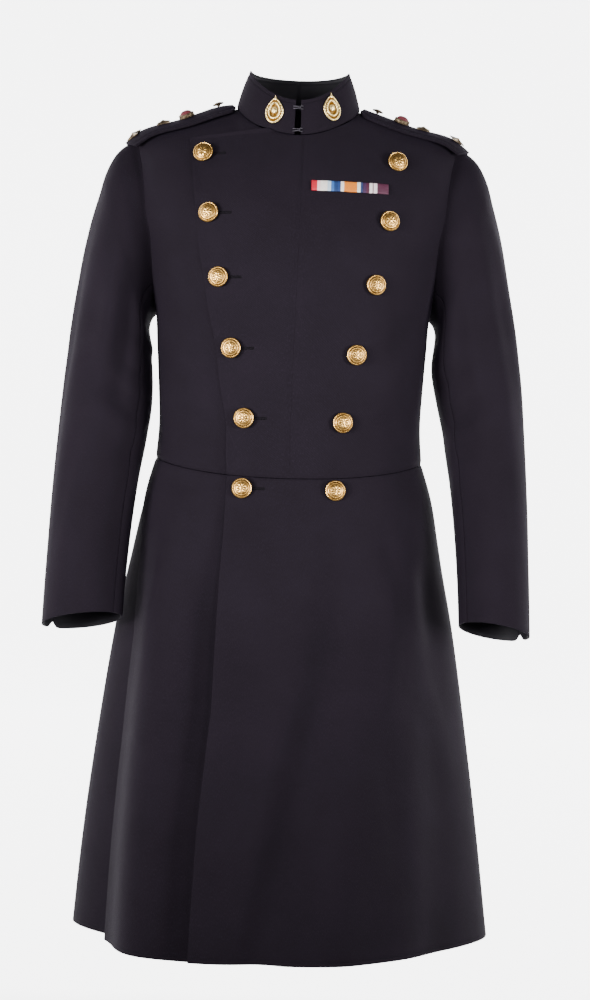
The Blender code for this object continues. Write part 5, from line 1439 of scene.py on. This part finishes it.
def add_wire(bm, path, place):
    """A bent wire of round section along a path."""
    spots = [place @ Vector((x, y, z)) for x, y, z in path]
    ring_before = None
    for index, spot in enumerate(spots):
        ahead = (spots[min(index + 1, len(spots) - 1)] - spots[max(index - 1, 0)]).normalized()
        turn_to = ahead.to_track_quat("Z", "Y").to_matrix().to_4x4()
        ring = bmesh.ops.create_circle(bm, cap_ends=index in (0, len(spots) - 1), segments=10,
                                       radius=WIRE_RADIUS, matrix=Matrix.Translation(spot) @ turn_to)
        edges = list({edge for vert in ring["verts"] for edge in vert.link_edges})
        if ring_before:
            bmesh.ops.bridge_loops(bm, edges=ring_before + edges)
        ring_before = edges


for number, level in enumerate(HOOK_LEVELS, 1):
    middle = (collar_point(level, HOOK_TURN) + collar_point(level, -HOOK_TURN)) / 2.0
    middle.y -= HOOK_OUT
    place = Matrix.Translation(middle) @ Matrix.Rotation(math.pi / 2.0, 4, "X")
    bm = bmesh.new()
    add_wire(bm, HOOK_PATH, place)
    add_wire(bm, EYE_PATH, place)
    finish_trim(f"hook_and_eye_{number}", bm, plating, "plated_steel", f"collar_hook_{number}")


# Studio: a round cove of pale paper, five soft lamps and the camera at the photograph's angle. The
# cove is wide enough that a camera which goes round the coat stays inside it.
FLOOR, FLOOR_RING, COVE_RADIUS, COVE_BEND, COVE_TOP, COVE_TURNS = -1.42, 1.8, 9.0, 2.0, 7.0, 96
cove_look, shader = start_material("matt_pale_paper", 0.9)
paper = add_node(cove_look.node_tree, "ShaderNodeTexNoise", {"Scale": 3.0, "Detail": 2.0})
tint = add_node(cove_look.node_tree, "ShaderNodeMix", {
    "Factor": paper.outputs["Fac"], "A": linear("#F1F1F2"), "B": linear("#F6F6F6")}, data_type="RGBA")
shader.inputs["Base Color"].default_value = linear("#8E8E90")
cove_look.node_tree.links.new(tint.outputs["Result"], shader.inputs["Emission Color"])
# the paper behind the coat glows in place of lamps of its own that would light it, and the paper in front
# of it barely glows
room = add_node(cove_look.node_tree, "ShaderNodeTexCoord", {})
axes = add_node(cove_look.node_tree, "ShaderNodeSeparateXYZ", {"Vector": room.outputs["Object"]})
behind = add_node(cove_look.node_tree, "ShaderNodeMapRange", {
    "Value": axes.outputs["Y"], "From Min": 0.3, "From Max": 1.4, "To Min": 0.05, "To Max": 6.00})
cove_look.node_tree.links.new(behind.outputs["Result"], shader.inputs["Emission Strength"])
corner = [(COVE_RADIUS - COVE_BEND * (1.0 - math.sin(a)), FLOOR + COVE_BEND * (1.0 - math.cos(a)))
          for a in steps(0.0, math.pi / 2.0, 12)]
profile = [(0.0, FLOOR), (FLOOR_RING, FLOOR)] + corner \
    + [(COVE_RADIUS, FLOOR + COVE_BEND), (COVE_RADIUS, COVE_TOP)]
cove = link_mesh("paper_cove", spin_section(profile, COVE_TURNS), cove_look)

# columns: name, place, aimed at, width, height, watts, spread in degrees
LIGHTS = (
    ("left softbox", (-2.3, -1.9, -0.35), (0.0, 0.0, -0.33), 0.9, 0.9, 15.4, 50.0),
    ("right softbox", (2.3, -1.6, -0.35), (0.0, 0.0, -0.33), 0.9, 0.9, 10.6, 50.0),
    ("left front", (-1.2, -2.3, -0.3), (0.0, 0.0, -0.36), 0.5, 0.5, 1.9, 40.0),
    ("right front", (0.8, -2.3, -0.3), (0.0, 0.0, -0.36), 0.5, 0.5, 1.7, 40.0),
    ("top", (0.0, 0.2, 3.2), (0.0, 0.0, -0.50), 2.0, 2.0, 3.0, 180.0),
)
for name, place, aim, width, height, watts, spread in LIGHTS:
    lamp = bpy.data.lights.new(name, "AREA")
    lamp.shape, lamp.size, lamp.size_y, lamp.energy = "RECTANGLE", width, height, watts
    lamp.spread = math.radians(spread)
    light = bpy.data.objects.new(name, lamp)
    light.location = place
    light.rotation_euler = (Vector(aim) - Vector(place)).to_track_quat("-Z", "Y").to_euler()
    light.visible_camera = False
    bpy.context.scene.collection.objects.link(light)
world = bpy.data.worlds.new("soft_room")
world.use_nodes = True
world.node_tree.nodes["Background"].inputs["Color"].default_value = linear("#F4F6FA")
world.node_tree.nodes["Background"].inputs["Strength"].default_value = 0.10
bpy.context.scene.world = world

EYE, LENS, ROLL = (0.0095, -3.0, -0.495), 84.708, 1.6
lens = bpy.data.cameras.new("camera")
lens.lens, lens.sensor_width, lens.sensor_fit = LENS, 36.0, "AUTO"
camera = bpy.data.objects.new("camera", lens)
camera.matrix_world = Matrix.Translation(EYE) @ Matrix.Rotation(math.pi / 2.0, 4, "X") \
    @ Matrix.Rotation(math.radians(ROLL), 4, "Z")
bpy.context.scene.collection.objects.link(camera)
bpy.context.scene.camera = camera
